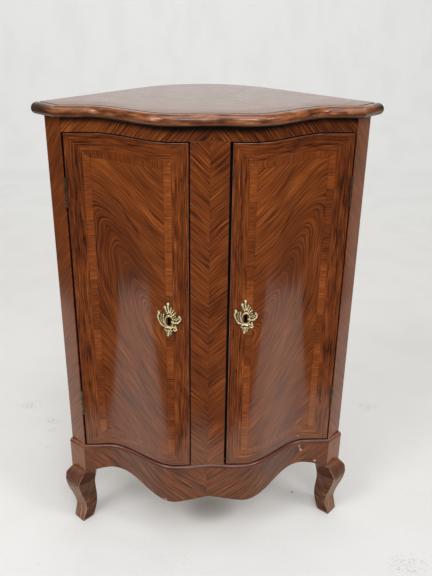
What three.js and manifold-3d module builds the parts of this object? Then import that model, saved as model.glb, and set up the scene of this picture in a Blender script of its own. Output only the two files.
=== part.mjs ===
// Corner cupboard with a bowed front, a canted return at each side, two veneered doors and cabriole feet.
// Millimetres, +Z up. The doors face -Y, and the two straight walls run back at 45 degrees to a cut corner.
import * as THREE from "three";
import { mergeVertices } from "three/addons/utils/BufferGeometryUtils.js";
import Module from "manifold-3d";

const wasm = await Module();
wasm.setup();

// Plan. Its zero is the middle of the line that joins the wall edges of the two canted returns.
const halfWidth = 286; // from the middle to the wall edge of a canted return
const cantRun = 29; // run of a canted return, sideways and forwards alike
const bowDepth = 76.5; // how far the middle of the front stands before its flat flanks
const bowStartShare = 0.26; // share of the half front where the bow begins to fall back
const bowEndShare = 0.8; // share of the half front where it is flat again
const hollowDepth = 4; // shallow hollow down the middle of the bow
const hollowEndShare = 0.2;
const cornerReach = 214; // from the plan's zero to the back face of the corner board

// Heights
const overallHeight = 900;
const topThickness = 20;
const friezeHeight = 25;
const apronTop = 197;
const baseMouldingHeight = 7;
const wallFoot = 160; // lower edge of the wall boards

// Boards and clearances
const wallThickness = 12;
const doorThickness = 20;
const doorStopGap = 1; // air between a closed door and what stops it
const plinthOutset = 3.5; // apron, base moulding and leg posts before the face of the doors
const plinthFlare = 3; // further outset that the plinth's canted faces gain by their wall edges
const apronThickness = 22;
const friezeThickness = 20;
const fit = 0.3; // air in a glued or nailed joint
const overrun = 5; // how far a cutting solid runs past what it cuts

// Rows of the leaning face of the base moulding: a share of plinthOutset and a share of its height.
const baseFaceShares = [[0, 1], [0.75, 0.7], [1, 0.35], [1, 0]];

// Top
const topOverhang = 17; // top moulding before the face of the body
const wallOverhang = 12; // top past the wall planes
const mouldingWidth = 19;
const mouldingNoseShare = 0.58; // share of the moulding's width that is rounded
const mouldingQuirk = 0.8; // small chamfer that draws the line between the moulding and the top panel
const apexRadius = 171; // rounded back corner of the top

// Centre stile
const centreStileHalfWidth = 33;
const centreStileShift = 3.7; // the middle of the stile stands this far to the left
const centreStopReach = 10; // how far the stop behind the doors stands past the stile's face
const centreStopDepth = 18;

// Corner stiles and leg posts
const cornerStopWidth = 10; // stop behind the hinged edge of a door
const stileDepth = 22; // square to the canted face
const stileBackWidth = 14;
const stileStopDepth = 14;
const postFaceWidth = 19; // front face of a leg post beside the apron
const postSideDepth = 27.5;

// Shelves and battens
const shelfThickness = 16;
const bottomThickness = 14;
const shelfSetback = 44; // front edge of a shelf behind the face of the doors
const shelfCount = 2;
const battenHeight = 18;
const battenThickness = 16;
const battenSetback = 40; // from the canted face to the front end of a batten
const battenEndSetback = 45; // from the corner board to the back end of a batten

// Doors. The two sides differ a little, as they do on a hand-made piece.
const doorHeadGap = 2.5;
const doorFootGap = 3;
const leftMeetingGap = 2.7;
const rightMeetingGap = 4.9;
const leftHingeGap = 3.6;
const rightHingeGap = 2.4;
const leftStripWidth = 1.5; // front strip of a corner stile beside the hinges
const rightStripWidth = 1;
const leftKeyholeOffset = 75.5; // from the middle of the front
const rightKeyholeOffset = 63.5;
const leftKeyholeHeight = 533; // from the floor
const rightKeyholeHeight = 537;
const hands = [
  {
    name: "left",
    sign: -1,
    meetingGap: leftMeetingGap,
    hingeGap: leftHingeGap,
    stripWidth: leftStripWidth,
    keyholeOffset: leftKeyholeOffset,
    keyholeHeight: leftKeyholeHeight,
  },
  {
    name: "right",
    sign: 1,
    meetingGap: rightMeetingGap,
    hingeGap: rightHingeGap,
    stripWidth: rightStripWidth,
    keyholeOffset: rightKeyholeOffset,
    keyholeHeight: rightKeyholeHeight,
  },
];

// Hinges
const hingeSpread = 438; // between the middles of a door's two hinges
const hingeHeight = 52;
const leafThickness = 0.8;
const leafDepth = 15;
const leafSeat = 0.25; // between a leaf and the wood it is screwed to
const knuckleRadius = 2.6;
const knuckleCount = 3;
const knuckleGap = 0.4;
const knuckleSeat = 0.3; // between a knuckle and the face of the door
const pinRadius = 1.05;
const pinClearance = 0.3;
const pinHeadRadius = 2.3;
const pinHeadHeight = 1.5;

// Locks
const keyholeRadius = 4;
const keySlotDrop = 11.5; // from the keyhole's centre to the foot of its slot
const keySlotTopHalf = 2.2;
const keySlotFootHalf = 2.7;
const lockWood = 4.6; // least wood left before the lock
const lockDepth = 9.5;
const lockHeight = 60;
const lockReach = 16; // lock case past the keyhole, away from the door's edge
const lockEdgeSetback = 0.4;
const lockWall = 1.5;
const coverThickness = 1.2;
const boltThickness = 5;
const boltHeight = 12;
const boltTail = 8; // free space in the case behind a drawn bolt
const boltRise = 14; // middle of the bolt above the keyhole
const boltClearance = 0.4;
const boltThrow = 9;
const grooveClearance = 1; // free space round a thrown bolt
const lockPinRadius = 1.5;
const lockPinSetback = 1.5; // tip of the pin behind the front wall of the case

// Escutcheons
const escutcheonWidth = 45;
const escutcheonHeight = 69;
const escutcheonThickness = 2.2;
const escutcheonRim = 1.6; // height of the raised frame round the keyhole
const escutcheonRimWidth = 3;

// Cabriole legs
const legHeight = 134; // floor to the ledge over the knee
const kneeReach = 25.5; // knee before the canted face
const legDepth = 28; // back of the ankle behind the canted face
const toeWidth = 32;
const shoulderStartShare = 0.68; // share of the leg's height where it starts to widen into its post
const ledgeRise = 1;
// Each row is a share of the leg's height and a share of kneeReach or legDepth.
const kneeOuterShares = [
  [0, 0.45], [0.12, 0.3], [0.23, 0.17], [0.33, 0.25], [0.46, 0.47],
  [0.62, 0.79], [0.76, 0.99], [0.89, 1], [0.97, 0.77], [1, 0.37],
];
const kneeCrestShares = [
  [0, 0.46], [0.15, 0.13], [0.28, 0.1], [0.41, 0.28], [0.59, 0.57],
  [0.7, 0.7], [0.8, 0.78], [0.88, 0.72], [0.97, 0.43], [1, 0.25],
];
const legBackShares = [[0, 0.6], [0.12, 0.85], [0.26, 1], [0.41, 0.99], [0.58, 0.87], [0.79, 0.75], [1, 0.75]];
const backFootTopHalf = 24;
const backFootFloorHalf = 18;
const backFootSetback = 12; // from the corner board

// Apron: shares of its half width, and shares of its arch height above its lowest point
const apronLow = 116.5;
const apronArch = 32.5;
const apronEdgeShares = [
  [0, 0.29], [0.17, 0.12], [0.33, 0], [0.44, 0.15], [0.53, 0.42],
  [0.62, 0.74], [0.71, 0.95], [0.8, 1], [0.9, 0.98], [1, 0.81],
];
const glueBlockStart = 30; // from the middle
const glueBlockWidth = 50;
const glueBlockDepth = 20;
const glueBlockHeight = 25;

// How finely curves are cut into facets
const bowSegments = 46;
const apronSegments = 44;
const legSegments = 16;
const roundSegments = 12;
const noseSegments = 8;
const apexSegments = 20;

// Sizes that follow from those above
const diagonal = Math.SQRT1_2;
const mitreSlope = Math.tan(Math.PI / 8); // sideways run of the mitre between the front and a canted return
const frontHalfWidth = halfWidth - cantRun;
const bodyTop = overallHeight - topThickness;
const friezeLow = bodyTop - friezeHeight;
const sill = apronTop + baseMouldingHeight;
const doorLow = sill + doorFootGap;
const doorHigh = friezeLow - doorHeadGap;
const doorMiddle = (doorLow + doorHigh) / 2;
const cornerBoardFace = cornerReach - wallThickness;
const wallRun = cornerBoardFace / diagonal;
const stopFace = doorThickness + doorStopGap; // depth of a door stop behind the face
const apexCentre = halfWidth + wallOverhang / diagonal - apexRadius / diagonal;
const frontReach = cantRun + bowDepth + topOverhang;
const backReach = apexCentre + apexRadius;

// Finishes
function finish(color, roughness, metalness) {
  return new THREE.MeshStandardMaterial({ color, roughness, metalness });
}
const doorVeneer = finish(0x7d3f22, 0.25, 0);
const frameVeneer = finish(0x6f381f, 0.28, 0);
const topVeneer = finish(0x84503a, 0.3, 0);
const mouldingWood = finish(0x6a3a20, 0.3, 0);
const legWood = finish(0x57331f, 0.4, 0);
const carcassWood = finish(0xa8845a, 0.75, 0);
const gildedBrass = finish(0xc9b884, 0.35, 0.9);
const hingeBrass = finish(0x6e5a3c, 0.5, 0.8);
const lockIron = finish(0x4b4845, 0.55, 0.8);

const cupboard = new THREE.Group();
cupboard.position.y = (frontReach - backReach) / 2; // centres the outline of the top on the origin

function addPiece(name, geometry, material) {
  const mesh = new THREE.Mesh(geometry, material);
  mesh.name = name;
  cupboard.add(mesh);
}

// Solids: joining and cutting
function toSolid(geometry) {
  const bare = geometry.clone();
  bare.deleteAttribute("normal");
  bare.deleteAttribute("uv");
  const merged = mergeVertices(bare, 1e-4);
  const vertProperties = merged.getAttribute("position").array;
  const triVerts = new Uint32Array(merged.index.array);
  return new wasm.Manifold(new wasm.Mesh({ numProp: 3, vertProperties, triVerts }));
}

function toGeometry(solid) {
  const mesh = solid.getMesh();
  const geometry = new THREE.BufferGeometry();
  geometry.setAttribute("position", new THREE.BufferAttribute(mesh.vertProperties, mesh.numProp));
  geometry.setIndex(new THREE.BufferAttribute(mesh.triVerts, 1));
  return geometry;
}

function combine(method, first, others) {
  let solid = toSolid(first);
  for (const other of others) {
    solid = solid[method](toSolid(other));
  }
  return toGeometry(solid);
}

const join = (first, ...others) => combine("add", first, others);
const cut = (first, ...others) => combine("subtract", first, others);
const common = (first, ...others) => combine("intersect", first, others);

// A closed skin over rings of points, capped at both ends by the triangles of its outline.
function loft(rings, outline) {
  if (THREE.ShapeUtils.isClockWise(outline)) {
    return loft(rings.map((ring) => [...ring].reverse()), [...outline].reverse());
  }
  const count = rings[0].length;
  const positions = rings.flat().flatMap((point) => [point.x, point.y, point.z]);
  const lastRing = (rings.length - 1) * count;
  const index = [];
  for (let ring = 0; ring < rings.length - 1; ring += 1) {
    for (let side = 0; side < count; side += 1) {
      const here = ring * count + side;
      const next = ring * count + ((side + 1) % count);
      index.push(here, next, next + count, here, next + count, here + count);
    }
  }
  for (const [a, b, c] of THREE.ShapeUtils.triangulateShape(outline, [])) {
    index.push(a, c, b, lastRing + a, lastRing + b, lastRing + c);
  }
  const geometry = new THREE.BufferGeometry();
  geometry.setAttribute("position", new THREE.Float32BufferAttribute(positions, 3));
  geometry.setIndex(index);
  return facingOut(geometry);
}

function signedVolume(geometry) {
  const points = geometry.getAttribute("position");
  const index = geometry.index.array;
  const corners = [new THREE.Vector3(), new THREE.Vector3(), new THREE.Vector3()];
  let sum = 0;
  for (let i = 0; i < index.length; i += 3) {
    corners.forEach((corner, k) => corner.fromBufferAttribute(points, index[i + k]));
    sum += corners[0].dot(corners[1].cross(corners[2]));
  }
  return sum / 6;
}

function facingOut(geometry) {
  if (signedVolume(geometry) < 0) {
    const index = geometry.index.array;
    for (let i = 0; i < index.length; i += 3) {
      [index[i + 1], index[i + 2]] = [index[i + 2], index[i + 1]];
    }
  }
  return geometry;
}

// Every handed piece is made for the right side and mirrored for the left.
function handed(hand, geometry) {
  if (hand.sign > 0) {
    return geometry;
  }
  const mirrored = toGeometry(toSolid(geometry));
  mirrored.scale(hand.sign, 1, 1);
  return facingOut(mirrored);
}

// A board whose outline is drawn in plan, between two heights.
function planBoard(points, low, high) {
  const geometry = new THREE.ExtrudeGeometry(new THREE.Shape(points), { depth: high - low, bevelEnabled: false });
  return geometry.translate(0, 0, low);
}

// A board whose outline is drawn in front elevation, from one depth back to another.
function elevationBoard(points, front, back) {
  const geometry = new THREE.ExtrudeGeometry(new THREE.Shape(points), { depth: back - front, bevelEnabled: false });
  return geometry.rotateX(Math.PI / 2).translate(0, back, 0);
}

function block(left, right, front, back, low, high) {
  const geometry = new THREE.BoxGeometry(right - left, back - front, high - low);
  return geometry.translate((left + right) / 2, (front + back) / 2, (low + high) / 2);
}

// Plan of the front: y = -(cantRun + bow), the bow falling from the middle to flat flanks by a smooth step.
function faceY(x) {
  const share = Math.abs(x) / frontHalfWidth;
  const bow = bowDepth * (1 - THREE.MathUtils.smoothstep(share, bowStartShare, bowEndShare));
  const hollow = hollowDepth * (1 - THREE.MathUtils.smoothstep(share, 0, hollowEndShare));
  return -(cantRun + bow - hollow);
}

// Stations lie along the bow; the flat flanks need only their ends.
const bowHalfWidth = frontHalfWidth * bowEndShare;
const stationStep = (2 * bowHalfWidth) / bowSegments;
const bowXs = Array.from({ length: bowSegments + 1 }, (_, i) => i * stationStep - bowHalfWidth);
const stationXs = [-frontHalfWidth, ...bowXs, frontHalfWidth];

// The direction a point of the front moves in when the face is offset; at the ends it follows the mitre.
function offsetDirection(x) {
  if (Math.abs(x) === frontHalfWidth) {
    return new THREE.Vector2(Math.sign(x) * mitreSlope, -1);
  }
  const slope = (faceY(x + stationStep / 2) - faceY(x - stationStep / 2)) / stationStep;
  return new THREE.Vector2(slope, -1).normalize();
}

function frontPath(outset) {
  return stationXs.map((x) => new THREE.Vector2(x, faceY(x)).addScaledVector(offsetDirection(x), outset));
}

function frontBand(outset, thickness, low, high) {
  return planBoard([...frontPath(outset), ...frontPath(outset - thickness).reverse()], low, high);
}

// A point by the right-hand corner: out is square to the canted face, along runs from the wall to the front.
function cornerPoint(out, along) {
  return new THREE.Vector2(halfWidth + (out - along) * diagonal, -(out + along) * diagonal);
}

function mirroredPlan(points) {
  return points.map((point) => new THREE.Vector2(-point.x, point.y)).reverse();
}

// A point on a line that runs parallel to the right-hand wall, a depth inside it, at a given y.
function insideWall(depth, y) {
  return new THREE.Vector2(halfWidth - depth / diagonal - y, y);
}

// Curve through rows of a place and a value.
function shareCurve(rows) {
  const places = rows.map((row) => row[0]);
  const values = rows.map((row) => row[1]);
  const curve = new THREE.CubicInterpolant(places, values, 1, new Float32Array(1));
  return (place) => curve.evaluate(place)[0];
}

// Top panel and its moulding
function topPanel() {
  const inset = topOverhang - mouldingWidth - fit;
  const front = frontPath(inset);
  const wallStart = cornerPoint(inset, -wallOverhang);
  const apex = Array.from({ length: apexSegments + 1 }, (_, i) => {
    const angle = Math.PI / 4 + ((Math.PI / 2) * i) / apexSegments;
    return new THREE.Vector2(apexRadius * Math.cos(angle), apexCentre + apexRadius * Math.sin(angle));
  });
  const leftStart = new THREE.Vector2(-wallStart.x, wallStart.y);
  return planBoard([...front, wallStart, ...apex, leftStart], bodyTop, overallHeight);
}

// Section of the top moulding: x is the offset from the body's face, y the height.
function noseOutline() {
  const inner = topOverhang - mouldingWidth;
  const noseRadius = mouldingWidth * mouldingNoseShare;
  const noseHalf = topThickness / 2;
  const round = Array.from({ length: noseSegments + 1 }, (_, i) => {
    const angle = Math.PI / 2 - (Math.PI * i) / noseSegments;
    const out = topOverhang - noseRadius + noseRadius * Math.cos(angle);
    return new THREE.Vector2(out, bodyTop + noseHalf + noseHalf * Math.sin(angle));
  });
  const quirkSide = new THREE.Vector2(inner, overallHeight - mouldingQuirk);
  const quirkTop = new THREE.Vector2(inner + mouldingQuirk, overallHeight);
  return [new THREE.Vector2(inner, bodyTop), quirkSide, quirkTop, ...round];
}

function sectionRing(outline, origin, direction) {
  return outline.map((point) => {
    const place = origin.clone().addScaledVector(direction, point.x);
    return new THREE.Vector3(place.x, place.y, point.y);
  });
}

function frontMoulding(outline) {
  const rings = stationXs.map((x) => sectionRing(outline, new THREE.Vector2(x, faceY(x)), offsetDirection(x)));
  return loft(rings, outline);
}

// The right-hand return of a moulding, from the mitre to a line past the wall plane, where it stands out by flare.
function returnMoulding(outline, mitreGap, pastWall, flare) {
  const cantWidth = cantRun / diagonal;
  const square = new THREE.Vector2(diagonal, -diagonal);
  const mitre = new THREE.Vector2(mitreSlope, -1);
  const mitreRing = sectionRing(outline, cornerPoint(0, cantWidth - mitreGap), mitre);
  const wallRing = sectionRing(outline, cornerPoint(flare, -pastWall), square);
  return loft([mitreRing, wallRing], outline);
}

function addTop() {
  addPiece("top_panel", topPanel(), topVeneer);
  const outline = noseOutline();
  addPiece("top_moulding_front", frontMoulding(outline), mouldingWood);
  for (const hand of hands) {
    const moulding = returnMoulding(outline, fit, wallOverhang, 0);
    addPiece(`top_moulding_${hand.name}`, handed(hand, moulding), mouldingWood);
  }
}

// Frieze rail, centre stile and corner stiles
function stileEdge(hand) {
  return frontHalfWidth - hand.stripWidth;
}

function addFrieze() {
  const [left, right] = hands.map((hand) => hand.sign * (stileEdge(hand) - fit));
  const band = frontBand(0, friezeThickness, friezeLow, bodyTop);
  const span = block(left, right, -frontReach, halfWidth, friezeLow - overrun, bodyTop + overrun);
  addPiece("frieze_rail", common(band, span), frameVeneer);
}

// Both locks lie at one depth, behind the least wood that either of them needs.
const lockedFaces = hands.flatMap((hand) => [faceY(doorEdges(hand).inner), faceY(hand.keyholeOffset + lockReach)]);
const lockFront = Math.max(...lockedFaces) + lockWood;
const lockBack = lockFront + lockDepth;
const boltFront = lockFront + (lockDepth - boltThickness) / 2;

// Places that a door's lock and its bolt share.
function lockPlaces(hand) {
  return {
    front: lockFront,
    back: lockBack,
    low: hand.keyholeHeight - lockHeight / 2,
    high: hand.keyholeHeight + lockHeight / 2,
    boltLow: hand.keyholeHeight + boltRise - boltHeight / 2,
  };
}

// Distance from the middle of the front to the stile's edge on one side
function stileReach(hand) {
  return centreStileHalfWidth - hand.sign * centreStileShift;
}

// A facing, a narrower core and a wide stop behind the doors. The bolts enter the grooves beside the core.
function addCentreStile() {
  const [left, right] = hands.map((hand) => hand.sign * stileReach(hand));
  const grooveFront = boltFront - grooveClearance;
  const stileStops = [left, right].map((x) => faceY(x) + stopFace);
  const stopFront = Math.max(...stileStops, lockBack + coverThickness + doorStopGap);
  const span = block(left, right, -frontReach, grooveFront, sill - overrun, friezeLow + overrun);
  addPiece("centre_stile", common(frontBand(0, stopFace, sill, friezeLow), span), frameVeneer);
  const grooveDepth = boltThrow + grooveClearance - lockEdgeSetback;
  const [coreLeft, coreRight] = hands.map((hand) => hand.sign * (doorEdges(hand).inner - grooveDepth));
  const core = block(coreLeft, coreRight, grooveFront, stopFront, sill, friezeLow);
  addPiece("centre_stile_core", core, carcassWood);
  const stopLeft = left - centreStopReach;
  const stopRight = right + centreStopReach;
  const stop = block(stopLeft, stopRight, stopFront, stopFront + centreStopDepth, sill, friezeLow);
  addPiece("centre_stile_stop", stop, carcassWood);
}

function cornerStile(hand) {
  const edge = stileEdge(hand);
  const stopX = edge - cornerStopWidth;
  const stopY = stopFace - cantRun;
  const back = stopY + stileStopDepth;
  const outline = [
    cornerPoint(0, 0),
    cornerPoint(-stileDepth, 0),
    cornerPoint(-stileDepth, stileBackWidth),
    new THREE.Vector2(stopX, back),
    new THREE.Vector2(stopX, stopY),
    new THREE.Vector2(edge, stopY),
    new THREE.Vector2(edge, -cantRun),
    new THREE.Vector2(frontHalfWidth, -cantRun),
  ];
  return planBoard(outline, sill, bodyTop);
}

// Base moulding: a band that leans back from the plinth to the face of the doors
function baseOutline() {
  const inner = plinthOutset - apronThickness;
  const face = baseFaceShares.map(
    ([out, rise]) => new THREE.Vector2(plinthOutset * out, apronTop + baseMouldingHeight * rise),
  );
  return [new THREE.Vector2(inner, apronTop), new THREE.Vector2(inner, sill), ...face];
}

function addBaseMoulding() {
  const outline = baseOutline();
  addPiece("base_moulding_front", frontMoulding(outline), mouldingWood);
  for (const hand of hands) {
    const moulding = returnMoulding(outline, fit, 0, plinthFlare);
    addPiece(`base_moulding_${hand.name}`, handed(hand, moulding), mouldingWood);
  }
}

// Apron with its shaped lower edge
const apronHalfWidth = frontHalfWidth - postFaceWidth;

function apronEdge() {
  const rise = shareCurve(apronEdgeShares);
  return Array.from({ length: 2 * apronSegments + 1 }, (_, i) => {
    const share = i / apronSegments - 1;
    return new THREE.Vector2(share * apronHalfWidth, apronLow + apronArch * rise(Math.abs(share)));
  });
}

function addApron() {
  const edge = apronEdge();
  const top = apronTop + overrun;
  const corners = [new THREE.Vector2(apronHalfWidth, top), new THREE.Vector2(-apronHalfWidth, top)];
  const elevation = elevationBoard([...edge, ...corners], -frontReach, halfWidth);
  const band = frontBand(plinthOutset, apronThickness, apronLow - overrun, apronTop);
  const span = apronHalfWidth - fit;
  const room = block(-span, span, -frontReach, halfWidth, 0, overallHeight);
  addPiece("apron_rail", common(band, elevation, room), frameVeneer);
}

// Front legs: cabriole foot and the post above it, one piece of wood
function postSection() {
  const inner = apronHalfWidth;
  const front = -cantRun - plinthOutset;
  return [
    cornerPoint(plinthOutset + plinthFlare, 0),
    new THREE.Vector2(frontHalfWidth + plinthOutset * mitreSlope, front),
    new THREE.Vector2(inner, front),
    new THREE.Vector2(inner, front + postSideDepth),
    cornerPoint(-stileDepth, stileBackWidth),
    cornerPoint(-stileDepth, 0),
  ];
}

function legSection(share, outer, crest, back) {
  const post = postSection();
  const cantWidth = cantRun / diagonal;
  const width = THREE.MathUtils.lerp(toeWidth, cantWidth, THREE.MathUtils.smoothstep(share, 0, 1));
  const blend = THREE.MathUtils.smoothstep(share, shoulderStartShare, 1);
  const crestOut = kneeReach * crest(share);
  const backOut = -legDepth * back(share);
  const square = [
    cornerPoint(kneeReach * outer(share), 0),
    cornerPoint(crestOut, width),
    cornerPoint((crestOut + backOut) / 2, width),
    cornerPoint(backOut, width),
    cornerPoint(backOut, width / 2),
    cornerPoint(backOut, 0),
  ];
  return square.map((point, i) => (i < 2 ? point : point.clone().lerp(post[i], blend)));
}

function ringAt(section, height) {
  return section.map((point) => new THREE.Vector3(point.x, point.y, height));
}

function frontLeg() {
  const curves = [kneeOuterShares, kneeCrestShares, legBackShares].map(shareCurve);
  const rings = Array.from({ length: legSegments + 1 }, (_, i) => {
    const share = i / legSegments;
    return ringAt(legSection(share, ...curves), share * legHeight);
  });
  const post = postSection();
  rings.push(ringAt(post, legHeight + ledgeRise), ringAt(post, apronTop));
  return loft(rings, post);
}

function backFoot() {
  const squareRing = (half, height) => {
    const back = cornerBoardFace - backFootSetback;
    const middle = back - backFootTopHalf;
    const corners = [[-1, -1], [1, -1], [1, 1], [-1, 1]];
    return corners.map(([x, y]) => new THREE.Vector3(x * half, middle + y * half, height));
  };
  const rings = [squareRing(backFootFloorHalf, 0), squareRing(backFootTopHalf, sill - bottomThickness)];
  const outline = rings[1].map((point) => new THREE.Vector2(point.x, point.y));
  return loft(rings, outline);
}

// Wall boards, corner board, bottom, shelves and battens
function wallBoard() {
  const end = cornerBoardFace - fit;
  const start = -stileDepth - fit;
  const outline = [
    cornerPoint(start, 0),
    insideWall(0, end),
    insideWall(wallThickness, end),
    cornerPoint(start, wallThickness),
  ];
  return planBoard(outline, wallFoot, bodyTop);
}

function cornerBoard() {
  const half = [insideWall(0, cornerBoardFace), insideWall(0, cornerReach)];
  return planBoard([...half, ...mirroredPlan(half)], wallFoot, bodyTop);
}

function shelf(top) {
  const front = shelfSetback - cantRun;
  const depth = wallThickness + fit;
  const frontCorner = insideWall(depth, front);
  const backCorner = insideWall(depth, cornerBoardFace - fit);
  const edge = stationXs
    .filter((x) => Math.abs(x) < frontCorner.x)
    .map((x) => new THREE.Vector2(x, faceY(x) + shelfSetback));
  const sides = [frontCorner, backCorner];
  return planBoard([...edge, ...sides, ...mirroredPlan(sides)], top - shelfThickness, top);
}

function bottomBoard() {
  const inner = apronHalfWidth - 2 * fit;
  const notchFront = postSideDepth - cantRun - plinthOutset + 2 * fit;
  const edge = frontPath(plinthOutset - apronThickness - fit).filter((point) => Math.abs(point.x) < inner);
  const side = [
    new THREE.Vector2(inner, edge[0].y),
    new THREE.Vector2(inner, notchFront),
    cornerPoint(-stileDepth - 2 * fit, stileBackWidth + fit),
    cornerPoint(-stileDepth - 2 * fit, wallThickness + fit),
    insideWall(wallThickness + fit, cornerBoardFace - fit),
  ];
  return planBoard([...edge, ...side, ...mirroredPlan(side)], sill - bottomThickness, sill);
}

function batten(top) {
  const start = -battenSetback;
  const end = battenEndSetback - wallRun;
  const near = wallThickness + fit;
  const far = near + battenThickness;
  const outline = [cornerPoint(start, near), cornerPoint(end, near), cornerPoint(end, far), cornerPoint(start, far)];
  return planBoard(outline, top - battenHeight, top);
}

// A block glued behind the apron and under the bottom board, to one side of the middle.
function glueBlock() {
  const top = sill - bottomThickness;
  const end = glueBlockStart + glueBlockWidth;
  const seat = frontPath(plinthOutset - apronThickness - 2 * fit);
  const edge = seat.filter((point) => point.x > glueBlockStart && point.x < end);
  const first = edge[0];
  const last = edge.at(-1);
  const back = last.y + glueBlockDepth;
  const corners = [new THREE.Vector2(last.x, back), new THREE.Vector2(first.x, back)];
  return planBoard([...edge, ...corners], top - glueBlockHeight, top);
}

const compartmentHeight = (friezeLow - sill) / (shelfCount + 1);
const shelfTops = Array.from({ length: shelfCount }, (_, i) => sill + (i + 1) * compartmentHeight);
const shelfNames = ["lower_shelf", "upper_shelf"];

function addCarcass() {
  addPiece("back_corner_board", cornerBoard(), carcassWood);
  addPiece("bottom_board", bottomBoard(), carcassWood);
  shelfTops.forEach((top, i) => addPiece(shelfNames[i], shelf(top), carcassWood));
  const battenTops = {
    bottom_batten: sill - bottomThickness,
    lower_shelf_batten: shelfTops[0] - shelfThickness,
    upper_shelf_batten: shelfTops[1] - shelfThickness,
    top_batten: bodyTop,
  };
  for (const hand of hands) {
    addPiece(`${hand.name}_wall_board`, handed(hand, wallBoard()), carcassWood);
    addPiece(`${hand.name}_corner_stile`, handed(hand, cornerStile(hand)), frameVeneer);
    addPiece(`${hand.name}_front_leg`, handed(hand, frontLeg()), legWood);
    for (const [name, top] of Object.entries(battenTops)) {
      addPiece(`${name}_${hand.name}`, handed(hand, batten(top)), carcassWood);
    }
    addPiece(`apron_block_${hand.name}`, handed(hand, glueBlock()), carcassWood);
  }
  addPiece("back_foot", backFoot(), legWood);
}

// Doors
function doorEdges(hand) {
  return { inner: stileReach(hand) + hand.meetingGap, outer: stileEdge(hand) - hand.hingeGap };
}

function keyholeShape(grow) {
  const shape = new THREE.Shape();
  const radius = keyholeRadius + grow;
  const topHalf = keySlotTopHalf + grow;
  const footHalf = keySlotFootHalf + grow;
  const start = Math.acos(topHalf / radius);
  shape.absarc(0, 0, radius, -start, Math.PI + start, false);
  shape.lineTo(-footHalf, -keySlotDrop - grow);
  shape.lineTo(footHalf, -keySlotDrop - grow);
  return shape.getPoints(roundSegments);
}

function keyholeCutter(hand, front, back, grow = 0) {
  const points = keyholeShape(grow);
  return elevationBoard(points, front, back).translate(hand.sign * hand.keyholeOffset, 0, hand.keyholeHeight);
}

function doorPanel(hand) {
  const { inner, outer } = doorEdges(hand);
  const { front, low, high } = lockPlaces(hand);
  const span = handed(hand, block(inner, outer, -frontReach, 0, doorLow, doorHigh));
  const panel = common(frontBand(0, doorThickness, doorLow, doorHigh), span);
  const pocketEnd = hand.keyholeOffset + lockReach + fit;
  const pocket = block(inner - overrun, pocketEnd, front - fit, -cantRun, low - fit, high + fit);
  return cut(panel, handed(hand, pocket), keyholeCutter(hand, -frontReach, front));
}

function bolt(hand) {
  const { boltLow } = lockPlaces(hand);
  const left = doorEdges(hand).inner + lockEdgeSetback;
  const right = hand.keyholeOffset + lockReach - lockWall - boltTail;
  return block(left, right, boltFront, boltFront + boltThickness, boltLow, boltLow + boltHeight);
}

function boltSlot(hand) {
  const { boltLow } = lockPlaces(hand);
  const left = doorEdges(hand).inner - overrun;
  const low = boltLow - boltClearance;
  const high = boltLow + boltHeight + boltClearance;
  const front = boltFront - boltClearance;
  const back = boltFront + boltThickness + boltClearance;
  return block(left, left + 2 * overrun, front, back, low, high);
}

function lockCase(hand) {
  const { front, back, low, high } = lockPlaces(hand);
  const left = doorEdges(hand).inner + lockEdgeSetback;
  const right = hand.keyholeOffset + lockReach;
  const outside = block(left, right, front, back, low, high);
  const inside = block(
    left + lockWall,
    right - lockWall,
    front + lockWall,
    back + overrun,
    low + lockWall,
    high - lockWall,
  );
  const tray = cut(outside, inside, boltSlot(hand));
  return cut(handed(hand, tray), keyholeCutter(hand, front - overrun, back));
}

// The cover closes the lock at the back, and carries the pin that a hollow key turns on.
function lockCover(hand) {
  const { front, back, low, high } = lockPlaces(hand);
  const left = doorEdges(hand).inner + lockEdgeSetback;
  const right = hand.keyholeOffset + lockReach;
  const plate = block(left, right, back, back + coverThickness, low, high);
  const pinFront = front + lockWall + lockPinSetback;
  const pinBack = back + coverThickness / 2;
  const pin = new THREE.CylinderGeometry(lockPinRadius, lockPinRadius, pinBack - pinFront, roundSegments);
  pin.translate(hand.keyholeOffset, (pinFront + pinBack) / 2, hand.keyholeHeight);
  return handed(hand, join(plate, pin));
}

// Escutcheon: cast scrolls round the keyhole, bent to the face of the door.
// Each row is a share of half the width and half the height.
const escutcheonShares = [
  [-0.07, 0.99], [0.1, 0.92], [0.11, 0.82], [0.24, 0.74], [0.24, 0.63], [0.39, 0.58], [0.4, 0.48],
  [0.53, 0.42], [0.61, 0.28], [0.53, 0.17], [0.66, 0.13], [0.71, 0.21], [0.88, 0.2], [1, 0.06],
  [0.95, -0.06], [0.77, -0.19], [0.61, -0.24], [0.61, -0.35], [0.69, -0.54], [0.61, -0.67],
  [0.37, -0.63], [0.26, -0.71], [0.27, -0.86], [0.14, -0.97], [-0.07, -1], [-0.25, -0.96],
  [-0.24, -0.78], [-0.38, -0.65], [-0.45, -0.5], [-0.41, -0.4], [-0.59, -0.4], [-0.72, -0.28],
  [-0.87, -0.09], [-1, 0.13], [-0.93, 0.39], [-0.8, 0.43], [-0.67, 0.33], [-0.46, 0.33],
  [-0.36, 0.45], [-0.4, 0.58], [-0.44, 0.71], [-0.33, 0.81], [-0.2, 0.79], [-0.2, 0.93],
];

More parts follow.
